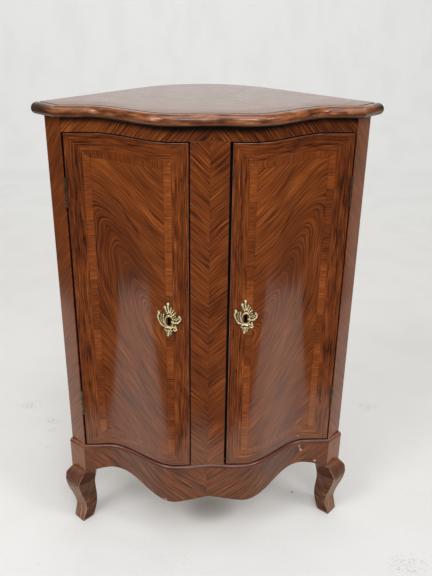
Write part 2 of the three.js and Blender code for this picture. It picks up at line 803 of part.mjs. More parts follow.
function escutcheon(hand) {
  const middle = hand.sign * hand.keyholeOffset;
  const low = hand.keyholeHeight - escutcheonHeight;
  const high = hand.keyholeHeight + escutcheonHeight;
  const outline = escutcheonShares.map(
    ([x, z]) => new THREE.Vector2((x * escutcheonWidth) / 2, (z * escutcheonHeight) / 2),
  );
  const front = -frontReach - overrun;
  const scrolls = elevationBoard(outline, front, 0).translate(middle, 0, hand.keyholeHeight);
  const plate = common(frontBand(fit + escutcheonThickness, escutcheonThickness, low, high), scrolls);
  const frame = keyholeCutter(hand, front, 0, escutcheonRimWidth);
  const rimDepth = escutcheonThickness + escutcheonRim;
  const rim = common(frontBand(fit + rimDepth, rimDepth, low, high), frame);
  return cut(join(plate, rim), keyholeCutter(hand, front, 0));
}

// Hinges: the pin stands before the gap, so a door swings clear of its stile.
function hingeAxis(hand) {
  return {
    x: stileEdge(hand) - hand.hingeGap / 2,
    y: -cantRun - knuckleSeat - knuckleRadius,
  };
}

function knuckles(axis, low, picks) {
  const length = (hingeHeight - (knuckleCount - 1) * knuckleGap) / knuckleCount;
  return picks.map((place) => {
    const start = low + place * (length + knuckleGap);
    const barrel = new THREE.CylinderGeometry(knuckleRadius, knuckleRadius, length, roundSegments);
    barrel.rotateX(Math.PI / 2).translate(axis.x, axis.y, start + length / 2);
    return { barrel, start, end: start + length };
  });
}

// A leaf lies against the wood at face, and side is the way from the wood into the gap.
function hingeLeaf(hand, middle, face, side, picks) {
  const axis = hingeAxis(hand);
  const low = middle - hingeHeight / 2;
  const near = face + side * leafSeat;
  const far = near + side * leafThickness;
  const left = Math.min(near, far);
  const right = Math.max(near, far);
  const plateFront = -cantRun + knuckleSeat;
  let leaf = block(left, right, plateFront, plateFront + leafDepth, low, low + hingeHeight);
  for (const { barrel, start, end } of knuckles(axis, low, picks)) {
    leaf = join(leaf, block(left, right, axis.y, plateFront + overrun, start, end), barrel);
  }
  const boreRadius = pinRadius + pinClearance;
  const bore = new THREE.CylinderGeometry(boreRadius, boreRadius, hingeHeight + 2 * overrun, roundSegments);
  bore.rotateX(Math.PI / 2).translate(axis.x, axis.y, middle);
  return handed(hand, cut(leaf, bore));
}

function hingePin(hand, middle) {
  const axis = hingeAxis(hand);
  const shank = hingeHeight / 2 + fit;
  const end = shank + pinHeadHeight;
  const profile = [
    [0, -end], [pinHeadRadius, -end], [pinHeadRadius, -shank], [pinRadius, -shank],
    [pinRadius, shank], [pinHeadRadius, shank], [pinHeadRadius, end], [0, end],
  ].map(([radius, height]) => new THREE.Vector2(radius, height));
  const pin = new THREE.LatheGeometry(profile, roundSegments);
  pin.rotateX(Math.PI / 2).translate(axis.x, axis.y, middle);
  return handed(hand, facingOut(toGeometry(toSolid(pin))));
}

function addHinges(hand) {
  const heights = { upper: doorMiddle + hingeSpread / 2, lower: doorMiddle - hingeSpread / 2 };
  for (const [place, middle] of Object.entries(heights)) {
    const frameLeaf = hingeLeaf(hand, middle, stileEdge(hand), -1, [0, 2]);
    const doorLeaf = hingeLeaf(hand, middle, doorEdges(hand).outer, 1, [1]);
    addPiece(`${hand.name}_${place}_hinge_frame_leaf`, frameLeaf, hingeBrass);
    addPiece(`${hand.name}_${place}_hinge_door_leaf`, doorLeaf, hingeBrass);
    addPiece(`${hand.name}_${place}_hinge_pin`, hingePin(hand, middle), hingeBrass);
  }
}

function addDoor(hand) {
  addPiece(`${hand.name}_door_panel`, doorPanel(hand), doorVeneer);
  addPiece(`${hand.name}_escutcheon`, escutcheon(hand), gildedBrass);
  addPiece(`${hand.name}_lock_case`, lockCase(hand), lockIron);
  addPiece(`${hand.name}_lock_cover`, lockCover(hand), lockIron);
  addPiece(`${hand.name}_lock_bolt`, handed(hand, bolt(hand)), lockIron);
}

addTop();
addFrieze();
addCentreStile();
addBaseMoulding();
addApron();
addCarcass();
for (const hand of hands) {
  addDoor(hand);
  addHinges(hand);
}

export default cupboard;
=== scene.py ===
import math
import bpy
import numpy as np
from mathutils import Matrix, Vector


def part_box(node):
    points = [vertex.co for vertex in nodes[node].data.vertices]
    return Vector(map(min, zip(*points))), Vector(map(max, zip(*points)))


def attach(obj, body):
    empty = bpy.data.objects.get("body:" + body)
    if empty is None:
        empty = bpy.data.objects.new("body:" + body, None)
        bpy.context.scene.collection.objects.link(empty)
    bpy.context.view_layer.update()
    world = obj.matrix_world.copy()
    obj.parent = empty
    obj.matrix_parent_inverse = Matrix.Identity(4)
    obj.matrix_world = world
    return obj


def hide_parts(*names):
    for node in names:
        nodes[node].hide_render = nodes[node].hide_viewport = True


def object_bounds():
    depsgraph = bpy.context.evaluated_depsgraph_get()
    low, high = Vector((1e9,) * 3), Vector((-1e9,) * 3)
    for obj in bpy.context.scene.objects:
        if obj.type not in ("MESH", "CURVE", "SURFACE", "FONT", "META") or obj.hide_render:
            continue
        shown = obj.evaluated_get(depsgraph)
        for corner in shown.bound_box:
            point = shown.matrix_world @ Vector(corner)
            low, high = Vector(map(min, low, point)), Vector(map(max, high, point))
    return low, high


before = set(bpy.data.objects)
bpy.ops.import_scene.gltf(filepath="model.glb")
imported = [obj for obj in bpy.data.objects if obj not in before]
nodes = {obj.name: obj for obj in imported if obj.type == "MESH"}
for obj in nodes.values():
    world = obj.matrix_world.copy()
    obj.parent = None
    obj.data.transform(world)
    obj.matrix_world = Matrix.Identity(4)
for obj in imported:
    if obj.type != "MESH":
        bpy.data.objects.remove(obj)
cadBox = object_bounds()

# plan of the front, in millimetres; its zero is the middle of the line between the wall edges
plan = {"halfWidth": 286.0, "cantRun": 29.0, "bowDepth": 76.5, "bowStart": 0.26, "bowEnd": 0.8,
        "hollow": 4.0, "hollowEnd": 0.2, "overhang": 17.0, "wallOverhang": 12.0, "bodyTop": 880.0,
        "friezeLow": 855.0, "sill": 204.0, "apronTop": 197.0, "plinthOut": 3.5, "plinthFlare": 3.0}
halfFront = plan["halfWidth"] - plan["cantRun"]
planShift = cadBox[0].y * 1000 + plan["cantRun"] + plan["bowDepth"] + plan["overhang"]
mitre = math.tan(math.pi / 8)
root2 = math.sqrt(0.5)


def smoothStep(value, low, high):
    share = np.clip((value - low) / (high - low), 0, 1)
    return share * share * (3 - 2 * share)


def faceY(x):  # minus the canted run, minus a bow that falls off by a smooth step, plus a shallow hollow
    share = np.abs(x) / halfFront
    bow = plan["bowDepth"] * (1 - smoothStep(share, plan["bowStart"], plan["bowEnd"]))
    return -(plan["cantRun"] + bow - plan["hollow"] * (1 - smoothStep(share, 0, plan["hollowEnd"])))


def faceSlope(x):
    return faceY(x + 0.5) - faceY(x - 0.5)


def offsetFace(x, out):  # the face moved along its own normal
    slope = faceSlope(x)
    length = np.hypot(slope, 1)
    return x + slope / length * out, faceY(x) - out / length


def deepFace(x, depth):  # the face moved straight back, so that the depth is right square to it
    return faceY(x) + depth * np.hypot(faceSlope(x), 1)


arcXs = np.linspace(-halfFront, halfFront, 4001)
arcs = np.concatenate([[0], np.cumsum(np.hypot(np.diff(arcXs), np.diff(faceY(arcXs))))])
arcs -= arcs[2000]


def arcAt(x):
    return np.interp(x, arcXs, arcs)


def curveThrough(rows, share):  # cubic through rows of place and value, with slopes from the neighbours
    places, values = np.array(rows, float).T
    slopes = np.gradient(values, places)
    i = np.clip(np.searchsorted(places, share) - 1, 0, len(places) - 2)
    span = places[i + 1] - places[i]
    t = (share - places[i]) / span
    return ((2 * t**3 - 3 * t**2 + 1) * values[i] + (t**3 - 2 * t**2 + t) * span * slopes[i]
            + (3 * t**2 - 2 * t**3) * values[i + 1] + (t**3 - t**2) * span * slopes[i + 1])


def outward(points, faces):  # the faces as they are, or turned over if the volume that they close is negative
    volume = 0.0
    for size in set(map(len, faces)):
        corners = points[np.array([face for face in faces if len(face) == size])]
        for k in range(1, size - 1):
            volume += np.einsum("ij,ij->i", corners[:, 0], np.cross(corners[:, k], corners[:, k + 1])).sum()
    return faces if volume >= 0 else [face[::-1] for face in faces]


# meshes: points and grain map in millimetres, in the plan's own frame; a piece takes its node's name
def makePiece(node, points, faces, uv, body, material, slot, sharp=38, extra=None):
    points = np.asarray(points, float).reshape(-1, 3)
    world = points * 0.001
    world[:, 1] += planShift * 0.001
    first, *words = node.split("_")
    name = first + "".join(word.title() for word in words)
    mesh = bpy.data.meshes.new(name)
    mesh.from_pydata(world.tolist(), [], outward(points, faces))
    mesh.polygons.foreach_set("use_smooth", np.ones(len(mesh.polygons), bool))
    corner = np.zeros(len(mesh.loops), np.int32)
    mesh.loops.foreach_get("vertex_index", corner)
    layer = mesh.uv_layers.new(name="grain")
    layer.data.foreach_set("uv", (np.asarray(uv, float).reshape(-1, 2)[corner] * 0.01).ravel())
    for key, values in (extra or {}).items():
        attribute = mesh.attributes.new(key, "FLOAT", "POINT")
        attribute.data.foreach_set("value", np.asarray(values, float).ravel())
    mesh.validate()
    mesh.set_sharp_from_angle(angle=math.radians(sharp))
    mesh.materials.append(material)
    piece = bpy.data.objects.new(name, mesh)
    bpy.context.scene.collection.objects.link(piece)
    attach(piece, body)
    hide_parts(node)


def ringQuads(rings, around, spans):  # quads between closed rings; a last span leads back to the first ring
    i, j = np.meshgrid(np.arange(spans), np.arange(around), indexing="ij")
    at = lambda ring, place: ring % rings * around + place % around
    return np.stack([at(i, j), at(i, j + 1), at(i + 1, j + 1), at(i + 1, j)], -1).reshape(-1, 4).tolist()


def loftPiece(node, points, uv, *rest, **more):  # rings joined by quads, with one face on each end
    rings, around = points.shape[:2]
    ends = [list(range(around))[::-1], list(range((rings - 1) * around, rings * around))]
    makePiece(node, points, ringQuads(rings, around, rings - 1) + ends, uv, *rest, **more)


def fillet(distance, radius):  # how far a rounded edge falls back, at a distance from the edge
    near = np.clip(radius - distance, 0, radius)
    return radius - np.sqrt(radius**2 - near**2)


def edgeRows(radius):
    return [0, radius * 0.12, radius * 0.35, radius * 0.7, radius, radius + 1.2]


# a panel that follows the bow: a grid of fronts and backs over x and height, closed at its border and holes
def bowedPanel(node, xs, low, high, middles, radius, proud, depth, body, material, slot,
               uv=None, holes=(), backOf=None, ends=None):
    rows = edgeRows(radius)
    lowZ, highZ = (np.broadcast_to(np.asarray(edge, float), xs.shape)[:, None] for edge in (low, high))
    shares = np.array([0.0] * len(rows) + list(middles) + [1.0] * len(rows))
    steps = np.array(rows + [0.0] * len(middles) + [-row for row in rows[::-1]])
    x = np.broadcast_to(xs[:, None], (len(xs), len(shares)))
    z = lowZ + (highZ - lowZ) * shares + steps
    stretch = np.hypot(faceSlope(x), 1)
    falls = fillet(np.minimum(z - lowZ, highZ - z), radius)
    falls = falls + fillet(np.minimum(x - xs[0], xs[-1] - x), ends or radius)
    front = faceY(x) + (np.minimum(falls, radius) - proud) * stretch
    back = deepFace(x, depth) if backOf is None else backOf(x, z)
    n, m = x.shape
    index = np.arange(n * m).reshape(n, m)
    keep = np.ones((n - 1, m - 1), bool)
    midX, midZ = ((grid[1:, 1:] + grid[:-1, :-1]) / 2 for grid in (x, z))
    for x0, x1, z0, z1 in holes:
        keep &= ~((midX > x0) & (midX < x1) & (midZ > z0) & (midZ < z1))
    a, b, c, d = index[:-1, :-1], index[1:, :-1], index[1:, 1:], index[:-1, 1:]
    fronts = np.stack([a, b, c, d], -1)[keep]
    faces = [fronts, fronts[:, ::-1] + n * m]
    inX = np.pad(keep, ((1, 1), (0, 0)))
    inZ = np.pad(keep, ((0, 0), (1, 1)))
    wallX = np.stack([index[:, :-1], index[:, :-1] + n * m, index[:, 1:] + n * m, index[:, 1:]], -1)
    wallZ = np.stack([index[:-1], index[1:], index[1:] + n * m, index[:-1] + n * m], -1)
    faces += [wallX[inX[:-1] & ~inX[1:]], wallX[~inX[:-1] & inX[1:]][:, ::-1]]
    faces += [wallZ[inZ[:, :-1] & ~inZ[:, 1:]], wallZ[~inZ[:, :-1] & inZ[:, 1:]][:, ::-1]]
    points = np.concatenate([np.stack([x, y, z], -1).reshape(-1, 3) for y in (front, back)])
    grain = np.stack((arcAt(x), z) if uv is None else uv(x, z), -1).reshape(-1, 2)
    makePiece(node, points, np.concatenate(faces).tolist(), np.tile(grain, (2, 1)), body, material, slot,
              extra={"depth": np.repeat([0.0, 1.0], n * m)})


def stations(left, right, radius, step=3.0):  # x places with rounded-edge rows at both ends
    rows = np.array(edgeRows(radius))
    inner = np.linspace(left + rows[-1], right - rows[-1], max(3, int((right - left) / step)))
    return np.concatenate([left + rows[:-1], inner, right - rows[-2::-1]])


# shader sums
class Wire:
    def __init__(self, graph, socket):
        self.graph, self.socket = graph, socket

    def __neg__(self):
        return self * -1.0

    def __abs__(self):
        return self.graph.sum("ABSOLUTE", self)


def overload(operator, operation):  # an operator and its reflected form
    setattr(Wire, f"__{operator}__", lambda self, other: self.graph.sum(operation, self, other))
    setattr(Wire, f"__r{operator}__", lambda self, other: self.graph.sum(operation, other, self))


operators = {"add": "ADD", "sub": "SUBTRACT", "mul": "MULTIPLY", "truediv": "DIVIDE", "pow": "POWER"}
for operator, operation in operators.items():
    overload(operator, operation)


class Graph:
    def __init__(self, tree):
        self.tree = tree
        tree.nodes.clear()

    def add(self, kind, settings=None, values=None, output=0):
        node = self.tree.nodes.new(kind)
        for key, value in (settings or {}).items():
            if key == "stops":
                while len(node.color_ramp.elements) < len(value):
                    node.color_ramp.elements.new(1.0)
                for element, (place, colour) in zip(node.color_ramp.elements, value):
                    element.position, element.color = place, (*colour[:3], 1.0)
            else:
                setattr(node, key, value)
        sockets = {socket.identifier: socket for socket in node.inputs}
        for key, value in (values or {}).items():
            socket = node.inputs[key] if isinstance(key, int) else sockets.get(key) or node.inputs[key]
            if isinstance(value, Wire):
                self.tree.links.new(value.socket, socket)
            else:
                socket.default_value = value
        return Wire(self, node.outputs[output]) if node.outputs else node

    def sum(self, operation, *values):
        return self.add("ShaderNodeMath", {"operation": operation}, dict(enumerate(values)))

    def least(self, a, b):
        return self.sum("MINIMUM", a, b)

    def most(self, a, b):
        return self.sum("MAXIMUM", a, b)

    def step(self, value, low, high):  # 0 below low, 1 above high, smooth between
        return self.add("ShaderNodeMapRange", {"interpolation_type": "SMOOTHSTEP"},
                        {"Value": value, "From Min": low, "From Max": high})

    def fall(self, value, low, high):  # 1 below low, 0 above high, smooth between
        return 1.0 - self.step(value, low, high)

    def away(self, x, y, centre, reach):  # distance from a centre, as a share of the reach along either axis
        return (((x - centre[0]) / reach[0]) ** 2.0 + ((y - centre[1]) / reach[1]) ** 2.0) ** 0.5

    def mix(self, factor, a, b):  # numbers
        return self.add("ShaderNodeMix", {"data_type": "FLOAT"},
                        {"Factor_Float": factor, "A_Float": a, "B_Float": b})

    def blend(self, factor, a, b, how="MIX"):  # colours
        return self.add("ShaderNodeMix", {"data_type": "RGBA", "blend_type": how},
                        {"Factor_Float": factor, "A_Color": a, "B_Color": b}, 2)

    def coats(self, colour, *layers):  # colours laid over one after another, each with its own cover
        for cover, over in layers:
            colour = self.blend(cover, colour, over)
        return colour

    def split(self, vector):
        node = self.add("ShaderNodeSeparateXYZ", {}, {"Vector": vector})
        return [Wire(self, socket) for socket in node.socket.node.outputs]

    def noise(self, x, y, z, detail=2.0, roughness=0.5):
        vector = self.add("ShaderNodeCombineXYZ", {}, {"X": x, "Y": y, "Z": z})
        return self.add("ShaderNodeTexNoise", {},
                        {"Vector": vector, "Scale": 1.0, "Detail": detail, "Roughness": roughness})

    def sway(self, *places):  # noise to either side of zero
        return self.noise(*places) - 0.5

    def uv(self):  # the grain map, in millimetres
        return [axis * 100.0 for axis in self.split(self.add("ShaderNodeUVMap", {"uv_map": "grain"}))[:2]]

    def place(self):  # object coordinates, in millimetres
        vector = self.add("ShaderNodeTexCoord", {}, {}, 3)
        return [axis * 1000.0 for axis in self.split(vector)]

    def value(self, name):
        return self.add("ShaderNodeAttribute", {"attribute_name": name}, {}, 2)

    def ramp(self, value, stops):
        return self.add("ShaderNodeValToRGB", {"stops": stops}, {"Fac": value})

    def shades(self, value, *colours):  # dark, middle and light screen colours
        return self.ramp(value, [(place, paint(*colour)) for place, colour in zip((0.1, 0.5, 0.9), colours)])

    def bump(self, height, distance, strength=1.0):
        return self.add("ShaderNodeBump", {}, {"Height": height, "Distance": distance, "Strength": strength})


def paint(*screen):  # screen colour 0 to 255 as linear light
    shares = [value / 255 for value in screen]
    return (*(c / 12.92 if c <= 0.04045 else ((c + 0.055) / 1.055) ** 2.4 for c in shares), 1.0)


def turned(x, z, angle):  # a place measured along a line that leans by the angle, and square to it
    return x * math.cos(angle) + z * math.sin(angle), z * math.cos(angle) - x * math.sin(angle)


def surface(name, build, fixed):
    material = bpy.data.materials.new(name)
    material.use_nodes = True
    graph = Graph(material.node_tree)
    shader = graph.add("ShaderNodeBsdfPrincipled", {}, fixed)
    graph.add("ShaderNodeOutputMaterial", {}, {"Surface": shader})
    for key, wire in build(graph).items():
        graph.tree.links.new(wire.socket, shader.socket.node.inputs[key])
    return material


print("frame and helpers ready")

# veneer: marks that run along the grain, pores and slow clouds of colour
veneer = {
    "poreWidth": 0.35, "poreLength": 5.0, "sawnDepth": (0.02, 0.12), "backDepth": (0.93, 0.99),
    "dark": paint(50, 20, 8), "deep": paint(80, 36, 13), "middle": paint(106, 51, 19),
    # the inside colour is near black: painted shade on sawn edges, under the top and on the top moulding;
    # also the dark seams of the boards
    "warm": paint(130, 66, 25), "light": paint(160, 88, 36), "inside": paint(22, 13, 8),
    "bare": paint(206, 172, 140), "worn": paint(140, 110, 96),
}
grainMarks = {  # width, length, seed, detail and share of the tone
    "streak": (1.3, 80.0, 0.0, 1.0, 0.95), "line": (0.7, 40.0, 3.0, 0.0, 0.6),
    "ply": (2.1, 60.0, 9.0, 1.0, 0.65), "band": (4.5, 150.0, 5.0, 1.0, 0.22),
    "cloud": (34.0, 90.0, 7.0, 2.0, 0.42),
}
polish = {"IOR": 1.12, "Coat Weight": 1.0, "Coat Roughness": 0.13, "Coat IOR": 1.62}
softPolish = {**polish, "Coat Roughness": 0.16, "Coat IOR": 1.52}


def grainTone(graph, across, along, seed, contrast=1.0):
    marks = 0.0
    for width, length, ownSeed, detail, share in grainMarks.values():
        marks = marks + graph.sway(across / width, along / length, seed + ownSeed, detail) * share
    return 0.5 + marks * contrast


def pores(graph, across, along, seed):
    speck = graph.noise(across / veneer["poreWidth"], along / veneer["poreLength"], seed + 11.0, 1.0)
    return graph.step(speck, 0.58, 0.72)


def veneerColour(graph, tone, speck, lift=0.0):
    stops = zip((0.08, 0.3, 0.5, 0.72, 0.95), ("dark", "deep", "middle", "warm", "light"))
    colour = graph.ramp(tone + lift, [(place, veneer[name]) for place, name in stops])
    return graph.blend(speck * 0.4, colour, veneer["dark"])


def sawnSides(graph, colour):  # behind the veneered face the edges are painted near black, as shade in the gaps; the back is bare
    depth = graph.value("depth")
    s, z = graph.uv()
    ring = graph.noise(s / 5.0, z / 220.0, 41.0, 3.0)
    bare = graph.blend(graph.step(ring, 0.2, 0.8), paint(96, 70, 48), paint(130, 99, 68))
    return graph.coats(colour, (graph.step(depth, *veneer["sawnDepth"]), veneer["inside"]),
                       (graph.step(depth, *veneer["backDepth"]), bare))


def chipped(graph, colour, s, z, places):  # small broken spots, each a place along and up, and a size
    if not places:
        return colour
    rough = graph.sway(s / 2.0, z / 2.0, 51.0, 2.0) * 2.4
    spots = 0.0
    for spotS, spotZ, size in places:
        away = graph.away(s, z, (spotS, spotZ), (size, size))
        spots = graph.most(spots, graph.fall(away + rough, 0.6, 1.0))
    return graph.blend(spots * 0.85, colour, veneer["bare"])


def finishVeneer(graph, colour, tone, speck, joints):
    height = tone * 0.3 - speck * 0.7 - joints
    return {"Base Color": colour, "Roughness": 0.42 + (tone - 0.5) * 0.1 + speck * 0.15,
            "Coat Weight": graph.fall(graph.value("depth"), *veneer["sawnDepth"]),
            "Normal": graph.bump(height, 0.00005, 0.5)}


# door veneer: a mitred border of long grain, a cross-grained band, and a field whose grain hooks over
door = {
    "borders": {"meeting": 28.5, "hinge": 30.0, "top": 29.0, "bottom": 23.0}, "band": 13.5,
    "climb": math.radians(36), "hookPlace": (166.0, 474.0), "hookEase": 24.0, "hookShare": 0.78,
    "leanFrom": 300.0, "leanEase": 70.0, "lean": 0.98,
    # the dim and dusk places hold painted shade on the field, the gleam line a painted highlight
    "smear": (112.0, 497.0), "darkStreakLean": math.radians(50), "dim": (126.0, 420.0), "dimReach": (58.0, 95.0),
    "gleam": 92.0, "dusk": (188.0, 345.0), "duskReach": (34.0, 75.0),
}


def doorVeneer(width, height, own):
    def build(graph):
        a, b = graph.uv()
        seed, borders = own["seed"], door["borders"]
        wobble = graph.sway(a / 34.0, b / 34.0, seed, 1.0)
        side = graph.least(a - borders["meeting"], (width - borders["hinge"]) - a)
        end = graph.least(b - borders["bottom"], (height - borders["top"]) - b)
        edge = graph.least(side, end)
        onEnd = graph.step(side - end, -0.15, 0.15)
        inBand = graph.step(edge, -0.2, 0.2)
        inField = graph.step(edge, door["band"] - 0.2, door["band"] + 0.2)

        def byPart(border, band, field):
            return graph.mix(inField, graph.mix(inBand, border, band), field)

        # the field's grain: the smooth greater of a climbing slope and a falling one that leans over low down
        under = door["leanFrom"] - b
        slide = (under + (under * under + door["leanEase"] ** 2) ** 0.5) * (0.5 * door["lean"])
        dx, dz = a - door["hookPlace"][0], b - door["hookPlace"][1]
        climb = turned(dx, dz, door["climb"])[1]
        drop = (dx + slide) * door["hookShare"]
        gap = climb - drop
        hook = (climb + drop + (gap * gap + door["hookEase"] ** 2) ** 0.5) * 0.5
        flow, run = hook + wobble * 7.0, a * 0.6 + b * 0.8

        borderAcross = graph.mix(onEnd, a, b) + wobble * 4.0
        borderAlong = graph.mix(onEnd, b, a)
        across = byPart(borderAcross, borderAlong, flow)
        along = byPart(borderAlong, borderAcross * 3.0, run)
        plot = seed + inBand * 20.0 + inField * 20.0 + onEnd * (1.0 - inField) * 5.0
        # painted shade in two patches; in the dim one the figure is also calmer
        dim = graph.fall(graph.away(a, b, door["dim"], door["dimReach"]), 0.2, 1.25)
        dusk = graph.fall(graph.away(a, b, door["dusk"], door["duskReach"]), 0.2, 1.1)
        contrast = byPart(1.0, 0.7, 1.0 - dim * 0.4)
        weave = graph.sway(flow / 2.2, run / 70.0, seed + 41.0, 1.0)
        fine = inField * (1.0 - dim) * (0.3 + 0.7 * graph.step(b, 330.0, 480.0))
        tone = 0.5 + (grainTone(graph, across, along, plot) - 0.5) * contrast + weave * fine * 0.6
        speck = pores(graph, across, along, plot) * byPart(1.0, 0.5, 1.0)

        # painted light and shade on the field: a painted highlight along one climbing line, a dark streak,
        # painted shade in the dim and dusk patches, and the field darker towards the bottom and lighter
        # towards the top; then the tone of the border and the band
        lengthwise, sideways = turned(a - door["smear"][0], b - door["smear"][1], door["darkStreakLean"])
        smear = graph.fall(abs(lengthwise), 8.0, 36.0) * graph.fall(abs(sideways + wobble * 14.0), 0.5, 6.0)
        gleam = graph.fall(abs(climb - door["gleam"] + wobble * 12.0), 2.0, 13.0)
        fieldLift = own["lift"] + gleam * 0.1 - smear * 0.26 - dim * 0.13 - dusk * 0.13
        fieldLift = fieldLift - graph.fall(b, 60.0, 330.0) * 0.06 + graph.step(b, 470.0, 600.0) * 0.05
        blotch = graph.sway(borderAcross / 7.0, borderAlong / 34.0, seed + 31.0, 3.0, 0.6)
        knots = graph.step(graph.noise(borderAcross / 9.0, borderAlong / 17.0, seed + 33.0, 2.0), 0.6, 0.74)
        stretches = graph.step(graph.noise(0.3, borderAlong / 60.0, seed + 35.0, 1.0), 0.4, 0.55)
        inner = graph.step(edge, -12.0, -3.0) * stretches
        borderLift = blotch * 0.75 - knots * 0.16 + inner * 0.14 - 0.05
        slips = graph.step(graph.noise(0.5, borderAlong / 85.0, seed + 37.0, 0.0), 0.44, 0.47)
        slices = graph.sway(0.5, borderAlong / 14.0, seed + 39.0, 1.0)
        bandLift = slips * 0.19 * (1.0 - onEnd * 0.6) + slices * 0.25
        # painted shade over the upper part towards the hinge, across border, band and field
        corner = graph.step(a, 130.0, 205.0) * graph.step(b, 370.0, 470.0)
        lift = byPart(borderLift, bandLift, fieldLift) - corner * 0.08

        mitreLine = graph.fall(abs(side - end), 0.1, 0.6) * (1.0 - inField)
        bandLine = graph.fall(abs(edge), 0.15, 0.6)
        fieldLine = graph.fall(abs(edge - door["band"]), 0.15, 0.6)
        joints = graph.most(mitreLine * 0.6, graph.most(bandLine, fieldLine))
        rim = graph.least(graph.least(a, width - a), graph.least(b, height - b))
        # the rim is paler: wear, and a painted highlight along the rounded edge
        rimWearAndHighlight = graph.fall(rim + wobble * 1.2, 0.1, 1.1)
        colour = graph.coats(veneerColour(graph, tone, speck, lift),
                             (joints * 0.45, veneer["dark"]), (rimWearAndHighlight * 0.5, veneer["worn"]))
        colour = sawnSides(graph, chipped(graph, colour, a, b, own["chips"]))
        return finishVeneer(graph, colour, tone, speck, joints * 0.5)
    return surface("doorVeneer", build, polish)


# rails and stile: grain that leans one way on each side of a centre joint
def leaningVeneer(name, lean, seed, centre=0.0, lift=0.0, shade=None, outer=(0.0, 0.0), coat=polish,
                  contrast=1.0, chips=()):
    def build(graph):
        s, z = graph.uv()
        side = s - centre
        run, flow = turned(abs(side), z, lean)
        flow = flow + graph.sway(s / 45.0, z / 45.0, seed, 1.0) * 5.0
        plot = seed + graph.step(side, -0.1, 0.1) * 4.0
        tone = grainTone(graph, flow, run, plot, contrast)
        speck = pores(graph, flow, run, plot)
        joint = graph.fall(abs(side), 0.1, 0.5)
        reach = graph.step(abs(side), 50.0, 200.0) * graph.mix(graph.step(side, -5.0, 5.0), *outer)
        colour = graph.blend(joint * 0.3, veneerColour(graph, tone, speck, reach + lift), veneer["dark"])
        if shade:  # painted shade under the top moulding, reaching a little lower in the middle
            low, high, cover = shade
            middle = graph.fall(abs(side), 50.0, 150.0) * 4.0
            colour = graph.blend(graph.step(z + middle, low, high) * cover, colour, veneer["inside"])
        colour = sawnSides(graph, chipped(graph, colour, s, z, chips))
        return finishVeneer(graph, colour, tone, speck, joint * 0.4)
    return surface(name, build, coat)


apronChips = [(217.5, 192.0, 2.2), (221.5, 181.5, 3.0), (219.5, 186.0, 1.4), (-89.0, 121.0, 1.9),
              (254.0, 152.0, 2.6)]
friezeVeneer = leaningVeneer("friezeVeneer", math.radians(-48), 51.0, lift=-0.1, shade=(868.0, 880.0, 0.95),
                             outer=(0.19, -0.13), contrast=1.5)
stileVeneer = leaningVeneer("stileVeneer", math.radians(44), 61.0, centre=-3.2, lift=-0.03, contrast=1.1)
apronVeneer = leaningVeneer("apronVeneer", math.radians(40), 71.0, centre=-6.0, lift=-0.13, coat=softPolish,
                            contrast=1.5, chips=apronChips)
print("veneers ready")


# solid wood, worn pale along its raised edges; its palest spots are painted highlights, and its near-black
# parts painted shade
def solidWood(name, colours, seed, widths, fixed, wear, tails=0.0):
    def build(graph):
        s, z = graph.uv()
        dark = paint(*colours[0])
        tone = 0.5 + graph.sway(z / widths[0], s / widths[1], seed, 3.0) * 1.8
        speck = graph.step(graph.noise(z / 0.5, s / 7.0, seed + 5.0, 1.0), 0.58, 0.74)
        patch = graph.step(graph.noise(s / 45.0, z / 30.0, seed + 13.0, 3.0), 0.48, 0.66)
        # pale for wear, and palest for painted highlights
        rub = graph.value("rub") * (0.35 + 0.9 * graph.noise(s / 9.0, z / 9.0, seed + 9.0, 3.0))
        tail = graph.most(graph.step(-s, 262.0, 312.0), graph.step(s, 290.0, 332.0))  # towards the walls
        # near black where that mark is set: painted shade in the top moulding's quirk, under its nose and on
        # its flanks, with less polish there
        grime = graph.step(graph.value("grime"), 0.1, 0.9)
        colour = graph.coats(
            graph.shades(tone, *colours), (speck * 0.4, dark), (patch * 0.4, dark),
            (graph.step(rub, 0.2, 0.9) * 0.75, wear),
            (graph.step(rub, 0.95, 1.4) * 0.75, paint(206, 180, 160)),
            (tail * tails, paint(44, 36, 27)), (grime * 0.85, veneer["inside"]))
        return {"Base Color": colour, "Roughness": fixed["Roughness"] + (tone - 0.5) * 0.08,
                "Coat Weight": 1.0 - grime * 0.9, "Normal": graph.bump(tone * 0.4 - speck, 0.00012, 0.5)}
    return surface(name, build, fixed)


gloss = {"Roughness": 0.36, "IOR": 1.12, "Coat Weight": 1.0, "Coat Roughness": 0.2, "Coat IOR": 1.49}
mouldingWood = solidWood("mouldingWood", [(54, 27, 15), (120, 68, 40), (160, 104, 64)], 5.0, (6.0, 32.0),
                         gloss, paint(150, 100, 66), tails=0.85)
baseWood = solidWood("baseMouldingWood", [(56, 26, 18), (94, 48, 33), (120, 70, 50)], 9.0, (2.5, 60.0),
                     {**gloss, "Coat Roughness": 0.3, "Coat IOR": 1.5}, paint(150, 104, 78))


